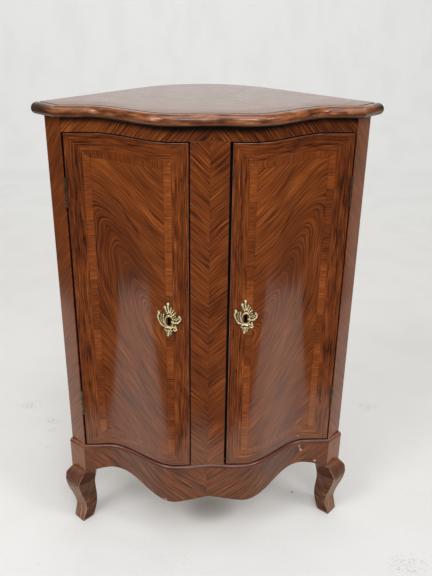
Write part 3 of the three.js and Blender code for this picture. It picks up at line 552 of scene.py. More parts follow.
def planedPine(lying, board):
    def build(graph):
        x, y, z = graph.place()
        bend = graph.sway(x / 120.0, y / 120.0, z / 260.0, 1.0) * 14.0
        if lying:  # boards that run from side to side
            ring = graph.sway(x / 260.0, (y + bend) / 5.0, z / 9.0, 2.0)
            seam = abs(graph.sum("PINGPONG", y + 20.0, board))
        else:  # upright boards, on walls that run off at 45 degrees to either side
            ring = graph.sway((x + bend) / 5.0, (y + bend) / 5.0, z / 260.0, 2.0)
            seam = abs(graph.sum("PINGPONG", abs(x) + 15.0, board))
        stops = [(0.15, paint(118, 84, 54)), (0.5, paint(154, 116, 78)), (0.85, paint(180, 142, 100))]
        grime = graph.step(graph.noise(x / 70.0, y / 70.0, z / 90.0, 3.0), 0.42, 0.7)
        colour = graph.coats(graph.ramp(0.5 + ring * 1.5, stops), (grime * 0.45, paint(92, 68, 48)),
                             (graph.fall(seam, 0.3, 1.2) * 0.7, veneer["inside"]))
        return {"Base Color": colour, "Roughness": 0.74 + ring * 0.15,
                "Normal": graph.bump(0.5 + ring * 1.5, 0.0002, 0.4)}
    return build


wallWood = surface("wallWood", planedPine(False, 92.0), {"IOR": 1.45})
shelfWood = surface("shelfWood", planedPine(True, 110.0), {"IOR": 1.45})


def castGilt(graph):
    x, y, z = graph.place()
    relief = graph.value("relief")
    cast = graph.noise(x / 1.6, y / 1.6, z / 1.6, 3.0)
    hollow = graph.fall(relief + (cast - 0.5) * 0.5, 0.12, 0.62)
    # raised parts paler: partly rubbed gilt and partly painted highlight; the hollows dark with patina
    colour = graph.blend(graph.step(relief, 0.35, 0.95), paint(182, 154, 92), paint(250, 236, 196))
    colour = graph.blend(hollow * 0.9, colour, paint(74, 56, 28))
    return {"Base Color": colour, "Roughness": 0.28 + hollow * 0.3 + (cast - 0.5) * 0.2,
            "Metallic": 0.55 - hollow * 0.2, "Normal": graph.bump(cast, 0.0003, 0.8)}


giltMetal = surface("giltMetal", castGilt, {"IOR": 1.5})


def tarnished(base, stain, seed):
    def build(graph):
        x, y, z = graph.place()
        spots = graph.noise(x / 6.0, y / 6.0, z / 6.0 + seed, 4.0, 0.6)
        mask = graph.step(spots, 0.4, 0.65)
        return {"Base Color": graph.blend(mask, base, stain), "Roughness": 0.38 + mask * 0.3,
                "Metallic": 0.95 - mask * 0.3, "Normal": graph.bump(spots, 0.0001, 0.5)}
    return build


hingeMetal = surface("hingeMetal", tarnished(paint(134, 112, 82), paint(78, 62, 46), 3.0), {"IOR": 1.5})
lockMetal = surface("lockMetal", tarnished(paint(104, 102, 100), paint(56, 46, 40), 17.0), {"IOR": 1.5})


def topColour(graph):
    x, y, z = graph.place()
    wobble = graph.sway(x / 70.0, y / 70.0, 3.0, 1.0)
    tone = grainTone(graph, y + wobble * 16.0, x, 81.0, 0.6)
    speck = pores(graph, y, x, 81.0)
    colour = graph.shades(tone, (84, 48, 30), (112, 76, 54), (142, 104, 78))
    haze = graph.noise(x / 40.0, y / 16.0, 9.0, 4.0)
    strands = graph.sway(x / 60.0, y / 3.5, 13.0, 3.0)
    bow = graph.fall(abs(x), plan["bowStart"] * halfFront, plan["bowEnd"] * halfFront) * plan["bowDepth"]
    rim = y - planShift + plan["cantRun"] + bow  # distance behind the front of the body
    dull = 0.03 + graph.step(abs(x), 170.0, 300.0) * 0.12 + graph.step(haze, 0.45, 0.7) * 0.12
    dull = graph.most(0.0, dull + strands * 0.5 + graph.fall(rim, 0.0, 60.0) * 0.36)
    return {"Base Color": graph.blend(speck * 0.3, colour, veneer["dark"]),
            "Roughness": 0.3 + (haze - 0.5) * 0.16, "Coat Weight": 1.0 - dull,
            "Normal": graph.bump(tone * 0.3 - speck * 0.7, 0.00003, 0.4)}


topVeneer = surface("topVeneer", topColour, softPolish)
cantedLean = math.atan2(0.8, 0.6)


def cantedTone(graph, s, z, seed):  # grain that climbs away from the front corner
    run, flow = turned(abs(s), z, cantedLean)
    flow = flow + graph.sway(s / 50.0, z / 50.0, 5.0, 1.0) * 6.0
    return grainTone(graph, flow, run, seed, 0.8), pores(graph, flow, run, seed)


def cantedColour(graph):  # the right stile has a little less polish
    tone, speck = cantedTone(graph, *graph.uv(), 91.0)
    looks = finishVeneer(graph, veneerColour(graph, tone, speck, 0.01), tone, speck, 0.0)
    return {**looks, "Coat Weight": 1.0 - graph.step(graph.place()[0], -50.0, 50.0) * 0.14}


cantedVeneer = surface("cantedVeneer", cantedColour, softPolish)

# legs: veneered posts over carved feet
feet = {"frontEnd": 108.0, "cantedEnd": 137.4, "lean": math.radians(40)}


def legColour(graph):
    s, z = graph.uv()
    out = abs(s)
    wobble = graph.sway(s / 20.0, z / 20.0, 15.0, 2.0)
    onCanted = graph.step(graph.value("canted"), 0.4, 0.6)
    frontTone = grainTone(graph, turned(out, z, feet["lean"])[1] + wobble * 4.0, out, 71.0)
    sideTone, speck = cantedTone(graph, s, z, 95.0)
    tone = graph.mix(onCanted, frontTone, sideTone)
    # the canted face's veneer is lighter, partly its own tone and partly painted reflection; low on the post
    # the veneer is painted darker, as shade
    low = graph.mix(onCanted, graph.fall(z, 130.0, 150.0), graph.fall(z, 124.0, 138.0))
    veneered = veneerColour(graph, tone, speck, graph.mix(onCanted, -0.12, 0.13))
    veneered = graph.blend(low * 0.85, veneered, paint(64, 38, 27))

    figure = graph.sway(turned(out, z, -feet["lean"])[1] / 2.6, out / 14.0, 17.0, 3.0)
    carved = graph.noise(s / 4.0, z / 45.0, 19.0, 3.0)
    # painted shade on the upper part of the knee's canted side, which faces up
    knee = graph.step(z, 96.0, 112.0) * graph.fall(z, 128.0, 138.0)
    front = graph.shades(0.5 + figure * 1.8, (46, 28, 20), (85, 52, 36), (130, 87, 61))
    side = graph.shades(0.5 + (carved - 0.5) * 1.6, (72, 46, 34), (120, 83, 65), (160, 122, 99))
    side = graph.blend(knee * 0.8, side, paint(76, 42, 30))
    # pale along the crest: wear, and a painted highlight
    rub = graph.value("rub") * (0.35 + 1.3 * graph.noise(s / 9.0, z / 9.0, 19.0, 3.0))
    solid = graph.coats(front, (onCanted, side), (graph.step(rub, 0.2, 0.9) * 0.75, paint(172, 142, 118)))

    end = graph.mix(onCanted, feet["frontEnd"], feet["cantedEnd"]) + wobble * 3.0
    over = graph.step(z, end - 2.0, end + 2.0)
    footCoat = graph.mix(onCanted, 0.15, 0.35)
    postCoat = graph.mix(onCanted, graph.mix(graph.step(z, 126.0, 138.0), 0.1, 0.75), 1.0)
    return {"Base Color": graph.blend(over, solid, veneered), "Roughness": 0.4 + (tone - 0.5) * 0.1,
            "Coat Weight": graph.mix(over, footCoat, postCoat), "Normal": graph.bump(carved, 0.0001, 0.5)}


legFinish = surface("legFinish", legColour, {**softPolish, "Coat IOR": 1.6})


# near-black wood for the inner pieces: painted shade, so that the gaps beside the centre stile read black
def shadedInnerWood(graph):
    x, y, z = graph.place()
    tone = graph.noise(x / 5.0, y / 5.0, z / 120.0, 2.0)
    return {"Base Color": graph.ramp(tone, [(0.2, paint(30, 18, 11)), (0.8, paint(58, 38, 24))])}


darkWood = surface("darkWood", shadedInnerWood, {"Roughness": 0.6})
print("materials ready")

# colours of the inner pieces that keep their own solids
battens = [f"{board}_batten_{hand}" for board in ("bottom", "lower_shelf", "upper_shelf", "top")
           for hand in ("left", "right")]
walls = ["back_corner_board", "left_wall_board", "right_wall_board", "apron_block_left", "apron_block_right"]
kept = {
    wallWood: walls,
    shelfWood: ["bottom_board", "lower_shelf", "upper_shelf"] + battens,
    hingeMetal: [name for name in nodes if "hinge" in name],
    lockMetal: [name for name in nodes if "_lock_" in name],
    topVeneer: ["top_panel"],
    darkWood: ["centre_stile_core", "centre_stile_stop", "back_foot"],
}
for material, names in kept.items():
    for name in names:
        nodes[name].data.materials.clear()
        nodes[name].data.materials.append(material)

hands = {
    "left": {"sign": -1, "meet": 39.4, "outer": 251.9, "strip": 255.5, "key": (75.5, 533.0), "lockEnd": 91.5,
             "seed": 3.0, "lift": 0.025, "chips": []},
    "right": {"sign": 1, "meet": 34.2, "outer": 253.6, "strip": 256.0, "key": (63.5, 537.0), "lockEnd": 79.5,
              "seed": 13.0, "lift": 0.045, "chips": [(179.3, 9.5, 1.7)]},
}
doorSize = {"low": 207.0, "high": 852.5, "thick": 20.0, "edge": 0.9, "keyHalf": 2.7, "keyUp": 3.6,
            "keyDown": 11.2, "lockWood": 4.6, "lockHalf": 30.4, "lockGap": 0.3, "rows": 30,
            "firstRow": 12.0}


def gridWith(base, marks, gap=0.04):  # a sorted list of places with a pair of lines at each mark
    pairs = np.array([mark + side for mark in marks for side in (-gap, gap)])
    near = np.min(np.abs(base[:, None] - pairs[None, :]), 1)
    return np.sort(np.concatenate([base[near > gap * 4], pairs]))


def makeDoor(hand, own):
    sign = own["sign"]
    inner, outer = sorted((sign * own["meet"], sign * own["outer"]))
    keyX, keyZ = sign * own["key"][0], own["key"][1]
    keyhole = (keyX - doorSize["keyHalf"], keyX + doorSize["keyHalf"],
               keyZ - doorSize["keyDown"], keyZ + doorSize["keyUp"])
    lockEnd = own["lockEnd"] + doorSize["lockGap"]
    pocketFront = max(faceY(own["meet"]), faceY(own["lockEnd"])) + doorSize["lockWood"] - doorSize["lockGap"]
    pocketLow, pocketHigh = keyZ - doorSize["lockHalf"], keyZ + doorSize["lockHalf"]
    xs = gridWith(stations(inner, outer, doorSize["edge"]), [*keyhole[:2], sign * lockEnd])
    rise = doorSize["high"] - doorSize["low"]
    rows = np.linspace(doorSize["firstRow"], rise - doorSize["firstRow"], doorSize["rows"])
    marks = np.array([*keyhole[2:], pocketLow, pocketHigh]) - doorSize["low"]

    def pocketBack(x, z):
        inside = (sign * x < lockEnd) & (z > pocketLow) & (z < pocketHigh)
        return np.where(inside, pocketFront, deepFace(x, doorSize["thick"]))

    def doorUv(x, z):
        return sign * (arcAt(x) - arcAt(sign * own["meet"])), z - doorSize["low"]

    material = doorVeneer(float(arcAt(outer) - arcAt(inner)), rise, own)
    bowedPanel(f"{hand}_door_panel", xs, doorSize["low"], doorSize["high"], gridWith(rows, marks) / rise,
               doorSize["edge"], 0.0, doorSize["thick"], f"{hand}_door", material, "door_veneer",
               uv=doorUv, backOf=pocketBack, holes=[keyhole])


for hand, own in hands.items():
    makeDoor(hand, own)
print("doors made")

# frieze, centre stile facing and apron
rails = {"edge": 0.35, "stileEdge": 0.2, "friezeThick": 20.0, "apronThick": 22.0, "frieze": (-255.2, 255.7),
         "stile": (-36.7, 29.3), "stileGap": 0.05}
bowedPanel("frieze_rail", stations(*rails["frieze"], rails["edge"]), plan["friezeLow"], plan["bodyTop"],
           [0.5], rails["edge"], 0.0, rails["friezeThick"], "carcass", friezeVeneer, "frame_veneer")
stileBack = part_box("centre_stile")[1].y * 1000 - planShift
bowedPanel("centre_stile", stations(*rails["stile"], rails["stileEdge"]), plan["sill"],
           plan["friezeLow"] - rails["stileGap"], [0.25, 0.5, 0.75], rails["stileEdge"], 0.0, 0.0,
           "carcass", stileVeneer, "frame_veneer", backOf=lambda x, z: np.full(x.shape, stileBack))

apron = {"half": 237.98, "low": 116.5, "arch": 32.5, "step": 2.0, "ends": 0.02}
apronShares = [(0, 0.29), (0.17, 0.12), (0.33, 0), (0.44, 0.15), (0.53, 0.42), (0.62, 0.74), (0.71, 0.95),
               (0.8, 1), (0.9, 0.98), (1, 0.81)]
apronXs = stations(-apron["half"], apron["half"], rails["edge"], apron["step"])
apronEdge = apron["low"] + apron["arch"] * curveThrough(apronShares, np.abs(apronXs) / apron["half"])
bowedPanel("apron_rail", apronXs, apronEdge, plan["apronTop"], [0.5], rails["edge"], plan["plinthOut"],
           rails["apronThick"] - plan["plinthOut"], "carcass", apronVeneer, "frame_veneer",
           ends=apron["ends"])
print("rails made")


# mouldings: a section carried along the bow, or straight along a canted return
moulding = {"frontSteps": 240, "endShare": 0.985, "returnSteps": 24, "gap": 0.25, "grainStart": 280.0}
cantWidth = plan["cantRun"] / root2


def carried(section, x, y, along):  # points of the section at each place, and a grain map of length and girth
    girth = np.concatenate([[0], np.cumsum(np.hypot(*np.diff(section, axis=0).T))])
    points = np.stack([x, y, np.broadcast_to(section[:, 1], x.shape)], -1)
    return points, np.stack(np.broadcast_arrays(along, girth), -1)


def bowSection(section):
    end = halfFront * moulding["endShare"]
    xs = np.concatenate([[-halfFront], np.linspace(-end, end, moulding["frontSteps"]), [halfFront]])
    outs = section[:, 0]
    x, y = offsetFace(xs[:, None], outs[None, :])
    for row, sign in ((0, -1), (-1, 1)):
        x[row], y[row] = sign * (halfFront + mitre * outs), faceY(halfFront) - outs
    return carried(section, x, y, arcAt(xs)[:, None])


def returnSection(section, sign, end, flare):
    outs, steps = section[:, 0], moulding["returnSteps"]
    start = cantWidth - moulding["gap"]
    along = np.repeat(np.linspace(start, end, steps)[:, None], len(outs), 1)
    along[0] = start + mitre * outs  # the mitre halves the corner between the front and the return
    shifted = outs + flare * np.linspace(0, 1, steps)[:, None]
    x = sign * (plan["halfWidth"] + (shifted - along) * root2)
    return carried(section, x, -(shifted + along) * root2, sign * (moulding["grainStart"] + start - along))


def makeMouldings(kind, section, material, end, flare, looks):
    lengths = {"front": bowSection(section)}
    for hand, own in hands.items():
        lengths[hand] = returnSection(section, own["sign"], end, flare)
    for side, (points, uv) in lengths.items():
        loftPiece(f"{kind}_moulding_{side}", points, uv, "carcass", material, "moulding_wood", sharp=50,
                  extra=looks(points, side))


def roundedSection(corners, rounds):  # a closed outline whose corners are rounded by short curves
    corners, outline = np.array(corners, float), []
    for k, corner in enumerate(corners):
        before, after = corners[k - 1] - corner, corners[(k + 1) % len(corners)] - corner
        reach = min(rounds[k], np.hypot(*before) / 2.2, np.hypot(*after) / 2.2)
        a, b = corner + before / np.hypot(*before) * reach, corner + after / np.hypot(*after) * reach
        t = np.linspace(0, 1, 6 if reach > 0.6 else 4)[:, None]
        outline.append((1 - t) ** 2 * a + 2 * t * (1 - t) * corner + t**2 * b)
    return np.concatenate(outline)


topEdge = {"inner": -2.0, "nose": 17.0, "noseShare": 0.58, "low": 880.0, "high": 900.0, "lift": 0.05,
           "turns": 26}
quirk = [(0, -1.9), (1.8, -1.9), (2.6, -1.4), (3.1, -0.4), (4.2, 0)]  # from the inner edge, and from the top


def noseSection():  # flat top, a quirk at its back, and a half round nose
    radius = (topEdge["nose"] - topEdge["inner"]) * topEdge["noseShare"]
    half = (topEdge["high"] - topEdge["low"]) / 2
    turn = np.linspace(math.pi / 2, -math.pi / 2, topEdge["turns"])
    bulge = topEdge["nose"] - radius + radius * np.cos(turn)
    nose = np.stack([bulge, topEdge["low"] + half + half * np.sin(turn)], -1)
    back = [(topEdge["inner"], topEdge["low"] + topEdge["lift"])]
    back += [(topEdge["inner"] + x, topEdge["high"] + z) for x, z in quirk]
    return np.concatenate([np.array(back), nose])


def rubbed(section, points, centre, spread):  # wear that fades away from a centre in the section
    rub = np.exp(-(((section - centre) / spread) ** 2).sum(1))
    return np.broadcast_to(rub, points.shape[:2])


# wear and painted light of the nose: wear on a ridge and the two front corners, spots with a place, height,
# reach and amount that are painted highlights but for one pale worn patch, and painted shade on the flanks
noseWearAndLight = {"ridge": (12.0, 898.0), "ridgeSpread": (6.0, 3.0), "ridgeRub": 0.4, "corner": 266.0,
            "cornerReach": 5.0, "cornerRub": 0.65, "spotRise": 2.6, "flank": 0.45}
noseSpots = [(-195, 891.5, 10, 1.5), (-97, 892, 13, 1.6), (58, 888, 20, 1.5), (208, 889.5, 8, 1.3),
             (238, 892, 7, 1.2), (-247, 893, 5, 0.9)]
nose = noseSection()
# painted shade in the quirk and on the lower half of the nose
noseShade = np.maximum(1 - smoothStep(nose[:, 0], 1.0, 2.4), 1 - smoothStep(nose[:, 1], 880.5, 887.0))


def noseLooks(points, side):
    x, z = np.abs(points[..., 0]), points[..., 2]
    onNose = smoothStep(nose[:, 0], 8, 14)
    corner = np.exp(-((x - noseWearAndLight["corner"]) / noseWearAndLight["cornerReach"]) ** 2) * smoothStep(z, 884, 892)
    rub = rubbed(nose, points, noseWearAndLight["ridge"], noseWearAndLight["ridgeSpread"]) * noseWearAndLight["ridgeRub"]
    rub = rub + corner * onNose * noseWearAndLight["cornerRub"]
    # spots: painted highlights, but for the pale worn patch at 58
    for spot, height, reach, amount in noseSpots:
        away = ((points[..., 0] - spot) / reach) ** 2 + ((z - height) / noseWearAndLight["spotRise"]) ** 2
        rub = rub + amount * np.exp(-away) * onNose
    # painted shade on the lower half of the nose along each flank, standing for a dark reflection
    flank = smoothStep(x, 120, 160) * (1 - smoothStep(x, 245, 262)) * (1 - smoothStep(nose[:, 1], 886, 893))
    return {"rub": rub, "grime": np.maximum(noseShade, flank * noseWearAndLight["flank"])}


makeMouldings("top", nose, mouldingWood, -plan["wallOverhang"], 0.0, noseLooks)

base = {"inner": -18.5, "nose": 3.7, "low": 197.05, "high": 203.95, "rubAt": (1.8, 203.0),
        "frontSpread": (1.6, 1.2), "returnSpread": (4.0, 2.5), "unworn": -190.0}
lipPlaces = [(base["inner"], base["low"]), (base["inner"], base["high"]), (0.2, base["high"]), (2.7, 201.8),
             (base["nose"], 199.4), (base["nose"], base["low"])]
lip = roundedSection(lipPlaces, [0.3, 0.3, 0.5, 1.2, 0.9, 0.3])


def lipLooks(points, side):
    if side != "front":
        return {"rub": rubbed(lip, points, base["rubAt"], base["returnSpread"])}
    worn = 1 - 0.5 * smoothStep(np.abs(points[..., 0] - base["unworn"]), 30, 90)
    return {"rub": rubbed(lip, points, base["rubAt"], base["frontSpread"]) * worn}


makeMouldings("base", lip, baseWood, 0.0, plan["plinthFlare"], lipLooks)
print("mouldings made")


# canted corner stiles: the plan outline of the solid with eased corners, carried up
def cornerPoint(out, along):
    return np.array([plan["halfWidth"] + (out - along) * root2, -(out + along) * root2])


stileSize = {"depth": 22.0, "back": 14.0, "stop": 10.0, "stopFace": 21.0, "stopDepth": 14.0,
             "rounds": [0.8, 0.5, 0.5, 0.5, 0.5, 0.5, 0.6, 0.9],
             "levels": [plan["sill"], 300.0, 450.0, 600.0, 750.0, plan["bodyTop"]]}
heel, innerHeel = cornerPoint(-stileSize["depth"], 0), cornerPoint(-stileSize["depth"], stileSize["back"])
for hand, own in hands.items():
    strip, stop = own["strip"], own["strip"] - stileSize["stop"]
    stopY = stileSize["stopFace"] - plan["cantRun"]
    outline = [cornerPoint(0, 0), heel, innerHeel, (stop, stopY + stileSize["stopDepth"]), (stop, stopY),
               (strip, stopY), (strip, -plan["cantRun"]), (halfFront, -plan["cantRun"])]
    section = roundedSection(outline, stileSize["rounds"])
    levels = np.array(stileSize["levels"])[:, None]
    x, y, z = np.broadcast_arrays(own["sign"] * section[:, 0], section[:, 1], levels)
    along = (plan["halfWidth"] - np.abs(x) - y) * root2
    loftPiece(f"{hand}_corner_stile", np.stack([x, y, z], -1), np.stack([-along, z], -1), "carcass",
              cantedVeneer, "frame_veneer", sharp=40)

# cabriole legs: a square section whose outer edge and crest swell at the knee and fall in at the ankle
leg = {"height": 134.0, "knee": 25.5, "depth": 28.0, "toe": 32.0, "shoulder": 0.68, "postFace": 19.0,
       "postSide": 27.5, "rings": 70, "toeTaper": 0.05, "toeRise": 2.0,
       "rounds": [2.2, 1.2, 0.4, 3.0, 0.4, 3.0], "postRounds": [0.8, 0.8, 0.02, 0.8, 0.4, 0.8],
       "postLevels": [134.8, 136.0, 150.0, 180.0, 196.95]}
kneeOuter = [(0, 0.45), (0.12, 0.3), (0.23, 0.17), (0.33, 0.25), (0.46, 0.47), (0.62, 0.79), (0.76, 0.99),
             (0.89, 1), (0.97, 0.77), (1, 0.37)]
kneeCrest = [(0, 0.5), (0.12, 0.22), (0.24, 0.1), (0.36, 0.22), (0.5, 0.45), (0.63, 0.68), (0.74, 0.86),
             (0.82, 0.9), (0.89, 0.72), (0.96, 0.42), (1, 0.28)]
legBack = [(0, 0.6), (0.12, 0.85), (0.26, 1), (0.41, 0.99), (0.58, 0.87), (0.79, 0.75), (1, 0.75)]
postX, postY = halfFront - leg["postFace"], -plan["cantRun"] - plan["plinthOut"]
postInner = [(postX, postY), (postX, postY + leg["postSide"]), innerHeel, heel]


def legCorners(share):  # six corners at each height, in the plan of the right-hand corner
    width = leg["toe"] + (cantWidth - leg["toe"]) * smoothStep(share, 0, 1)
    blend = smoothStep(share, leg["shoulder"], 1)[:, None]
    outer = leg["knee"] * curveThrough(kneeOuter, share)
    crest = leg["knee"] * curveThrough(kneeCrest, share)
    back = -leg["depth"] * curveThrough(legBack, share)
    zero = 0 * share
    places = [(outer, zero), (crest, width), ((crest + back) / 2, width), (back, width), (back, width / 2),
              (back, zero)]
    square = [cornerPoint(*place).T for place in places]
    inner = [corner * (1 - blend) + np.array(goal) * blend for corner, goal in zip(square[2:], postInner)]
    return np.stack(square[:2] + inner, 1)


def easedRings(corners, rounds):  # corners eased by short curves, with points along each straight run
    before, after = np.roll(corners, 1, 1) - corners, np.roll(corners, -1, 1) - corners
    lengths = [np.linalg.norm(arm, axis=2, keepdims=True) for arm in (before, after)]
    reach = np.minimum(np.array(rounds, float)[None, :, None], np.minimum(*lengths) * 0.45)
    a, b = corners + before / lengths[0] * reach, corners + after / lengths[1] * reach
    bends = [(1 - t) ** 2 * a + 2 * t * (1 - t) * corners + t**2 * b for t in np.linspace(0, 1, 7)]
    runs = [b * (1 - t) + np.roll(a, -1, 1) * t for t in (0.2, 0.4, 0.6, 0.8)]
    return np.stack(bends + runs, 2).reshape(len(corners), -1, 2)


def unrolled(ring):  # length along the front from the middle, carried on round the canted face
    onFront = ring[..., 0] <= halfFront + 1.0
    around = np.maximum((plan["halfWidth"] - ring[..., 0] - ring[..., 1]) * -root2 + cantWidth, 0)
    return np.where(onFront, arcAt(np.minimum(ring[..., 0], halfFront)), moulding["grainStart"] + around)


legShares = np.linspace(0, 1, leg["rings"])
toe = np.clip(1 - legShares * leg["height"] / leg["toeRise"], 0, 1)[:, None, None]
legRings = easedRings(legCorners(legShares), leg["rounds"])
legMiddle = legRings.mean(1, keepdims=True)
legRings = legMiddle + (legRings - legMiddle) * (1 - leg["toeTaper"] * toe**2)
postOuter = [cornerPoint(plan["plinthOut"] + plan["plinthFlare"], 0),
             (halfFront + plan["plinthOut"] * mitre, postY)]
postRing = easedRings(np.array([postOuter + postInner]), leg["postRounds"])
legLevels = np.concatenate([legShares * leg["height"], leg["postLevels"]])
allRings = np.concatenate([legRings, np.repeat(postRing, len(leg["postLevels"]), 0)])
index = np.arange(postRing.shape[1])[None, :]
outerAt, crestAt = 3, 14  # the middles of the first two corners' curves
cantedFrom = 60  # past this point the outline runs back to its first corner
# a pale mark along the crest and the outer corner: wear, and a painted highlight along the crest
rub = 1.3 * np.exp(-((index - crestAt) / 2.0) ** 2) + 0.5 * np.exp(-((index - outerAt) / 1.6) ** 2)
rub = rub * (smoothStep(legLevels, 8, 30) * (1 - smoothStep(legLevels, 126, 133)))[:, None]
canted = np.where((index <= crestAt) | (index > cantedFrom), 1.0, 0.0) + 0 * rub
legZ = np.broadcast_to(legLevels[:, None], rub.shape)
for hand, own in hands.items():
    points = np.concatenate([allRings * [own["sign"], 1], legZ[..., None]], -1)
    uv = np.stack([own["sign"] * unrolled(allRings), legZ], -1)
    loftPiece(f"{hand}_front_leg", points, uv, "carcass", legFinish, "leg_wood", sharp=44,
              extra={"rub": rub, "canted": canted})
print("stiles and legs made")

# escutcheons: cast scrolls whose ridges are strokes of a round brush, bent to the bow
plate = {"width": 45.0, "height": 69.0, "thick": 1.4, "swell": 2.9, "ruffle": 3.9, "rimRound": 1.0,
         "hole": 4.4, "slotHalf": 2.8, "slotDrop": 11.8, "slotTurns": (-2.24, -0.9), "places": 380,
         "rings": 46, "flutes": 17, "fluteHigh": 0.7, "fluteTwist": 0.25, "collar": 2.2,
         "collarHalf": (7.4, 11.5), "collarDrop": 3.0, "collarWidth": 0.17, "bedding": (-0.3, -0.25)}
plateHalf = np.array([plate["width"], plate["height"]]) / 2
# the outline from the top round to the right, as shares of half the width and half the height
plateShares = [(-0.07, 0.99), (0.1, 0.92), (0.11, 0.82), (0.24, 0.74), (0.24, 0.63), (0.39, 0.58),
               (0.4, 0.48), (0.53, 0.42), (0.61, 0.28), (0.53, 0.17), (0.66, 0.13), (0.71, 0.21),
               (0.88, 0.2), (1, 0.06), (0.95, -0.06), (0.77, -0.19), (0.61, -0.24), (0.61, -0.35),
               (0.69, -0.54), (0.61, -0.67), (0.37, -0.63), (0.26, -0.71), (0.27, -0.86), (0.14, -0.97),
               (-0.07, -1), (-0.25, -0.96), (-0.24, -0.78), (-0.38, -0.65), (-0.45, -0.5), (-0.41, -0.4),
               (-0.59, -0.4), (-0.72, -0.28), (-0.87, -0.09), (-1, 0.13), (-0.93, 0.39), (-0.8, 0.43),
               (-0.67, 0.33), (-0.46, 0.33), (-0.36, 0.45), (-0.4, 0.58), (-0.44, 0.71), (-0.33, 0.81),
               (-0.2, 0.79), (-0.2, 0.93)]
plateStrokes = [  # points as shares, then half width and height in millimetres
    ([(-0.78, 0.38), (-0.91, 0.16), (-0.85, -0.06), (-0.7, -0.26), (-0.5, -0.36)], 2.0, 3.0),
    ([(-0.81, 0.38), (-0.79, 0.35)], 2.8, 3.4),
    ([(-0.6, 0.28), (-0.66, 0.06), (-0.56, -0.16)], 1.3, 2.2),
    ([(-0.42, 0.3), (-0.48, 0.06), (-0.4, -0.18), (-0.26, -0.3)], 1.3, 2.6),
    ([(-0.3, 0.72), (-0.22, 0.56), (-0.12, 0.4)], 1.7, 2.6), ([(-0.31, 0.74), (-0.3, 0.71)], 2.5, 3.2),
    ([(-0.06, 0.92), (-0.07, 0.74), (-0.02, 0.56), (0.02, 0.4)], 1.6, 3.0),
    ([(-0.06, 0.93), (-0.05, 0.9)], 2.6, 3.2), ([(0.2, 0.7), (0.12, 0.54), (0.1, 0.4)], 1.4, 2.6),
    ([(0.34, 0.56), (0.24, 0.44), (0.17, 0.34)], 1.4, 2.6),
    ([(0.49, 0.4), (0.36, 0.32), (0.24, 0.26)], 1.6, 3.0), ([(0.5, 0.22), (0.38, 0.18)], 1.4, 2.4),
    ([(0.28, 0.06), (0.46, 0.05), (0.6, -0.02)], 1.3, 2.4), ([(0.83, 0.19), (0.81, 0.17)], 2.3, 3.4),
    ([(0.22, -0.1), (0.46, -0.17), (0.7, -0.16), (0.91, -0.03), (0.94, 0.1), (0.84, 0.18)], 1.7, 3.0),
    ([(0.56, 0.1), (0.7, 0.06), (0.78, 0.0)], 1.2, 2.4),
    ([(-0.4, -0.36), (-0.24, -0.46), (-0.06, -0.41), (0.1, -0.5), (0.3, -0.4), (0.44, -0.44)], 1.5, 3.0),
    ([(-0.37, -0.56), (-0.2, -0.64), (0.02, -0.59), (0.24, -0.63)], 1.3, 2.4),
    ([(0.5, -0.34), (0.56, -0.48), (0.61, -0.58), (0.48, -0.62), (0.36, -0.56)], 1.6, 3.0),
    ([(-0.02, -0.66), (-0.05, -0.82), (-0.12, -0.94)], 2.2, 2.6), ([(0.16, -0.68), (0.11, -0.86)], 1.4, 2.2),
    ([(-0.2, -0.7), (-0.16, -0.84)], 1.2, 2.0),
]


def strokeHeights(x, z):
    total = np.zeros(x.shape)
    for places, width, height in plateStrokes:
        path = np.array(places) * plateHalf
        gone = 0.0
        for start, end in zip(path[:-1], path[1:]):
            run = end - start
            t = np.clip(((x - start[0]) * run[0] + (z - start[1]) * run[1]) / (run @ run), 0, 1)
            gap = np.hypot(x - start[0] - t * run[0], z - start[1] - t * run[1])
            ruffle = 0.8 + 0.2 * np.cos(2 * math.pi * (gone + t * np.hypot(*run)) / plate["ruffle"])
            total = np.maximum(total, height * ruffle * np.sqrt(np.clip(1 - (gap / width) ** 2, 0, 1)))
            gone += np.hypot(*run)
    return total


def smoothLoop(places, count):  # a closed curve through the places, sampled evenly by index
    places = np.array(places, float)
    t = np.arange(count) / count * len(places)
    i = t.astype(int)
    f = (t - i)[:, None]
    p = [places[(i + k) % len(places)] for k in (-1, 0, 1, 2)]
    return 0.5 * (2 * p[1] + (p[2] - p[0]) * f + (2 * p[0] - 5 * p[1] + 4 * p[2] - p[3]) * f**2
                  + (3 * p[1] - p[0] - 3 * p[2] + p[3]) * f**3)


outerLoop = smoothLoop(plateShares, plate["places"]) * plateHalf
bearing = np.arctan2(outerLoop[:, 1], outerLoop[:, 0])
slotward = (bearing > plate["slotTurns"][0]) & (bearing < plate["slotTurns"][1])
slotReach = np.minimum(plate["slotHalf"] / np.maximum(np.abs(np.cos(bearing)), 1e-3),
                       plate["slotDrop"] / np.maximum(-np.sin(bearing), 1e-3))
holeRadius = np.where(slotward, np.maximum(plate["hole"], slotReach), plate["hole"])
holeLoop = np.stack([np.cos(bearing), np.sin(bearing)], -1) * holeRadius[:, None]
spread = np.linspace(0, 1, plate["rings"])[:, None] ** 0.9
plateX, plateZ = np.moveaxis(holeLoop * (1 - spread[..., None]) + outerLoop * spread[..., None], -1, 0)
rimFall = fillet(np.minimum(spread * 9, (1 - spread) * 16), plate["rimRound"])
distance = np.hypot(plateX, plateZ)
wave = 0.5 + 0.5 * np.cos(plate["flutes"] * np.arctan2(plateZ, plateX) + distance * plate["fluteTwist"])
flutes = plate["fluteHigh"] * wave * smoothStep(distance, 9, 14)
oval = np.hypot(plateX / plate["collarHalf"][0], (plateZ + plate["collarDrop"]) / plate["collarHalf"][1])
collar = plate["collar"] * np.exp(-(((oval - 1) / plate["collarWidth"]) ** 2))
raised = np.maximum(strokeHeights(plateX, plateZ), np.maximum(collar, flutes))
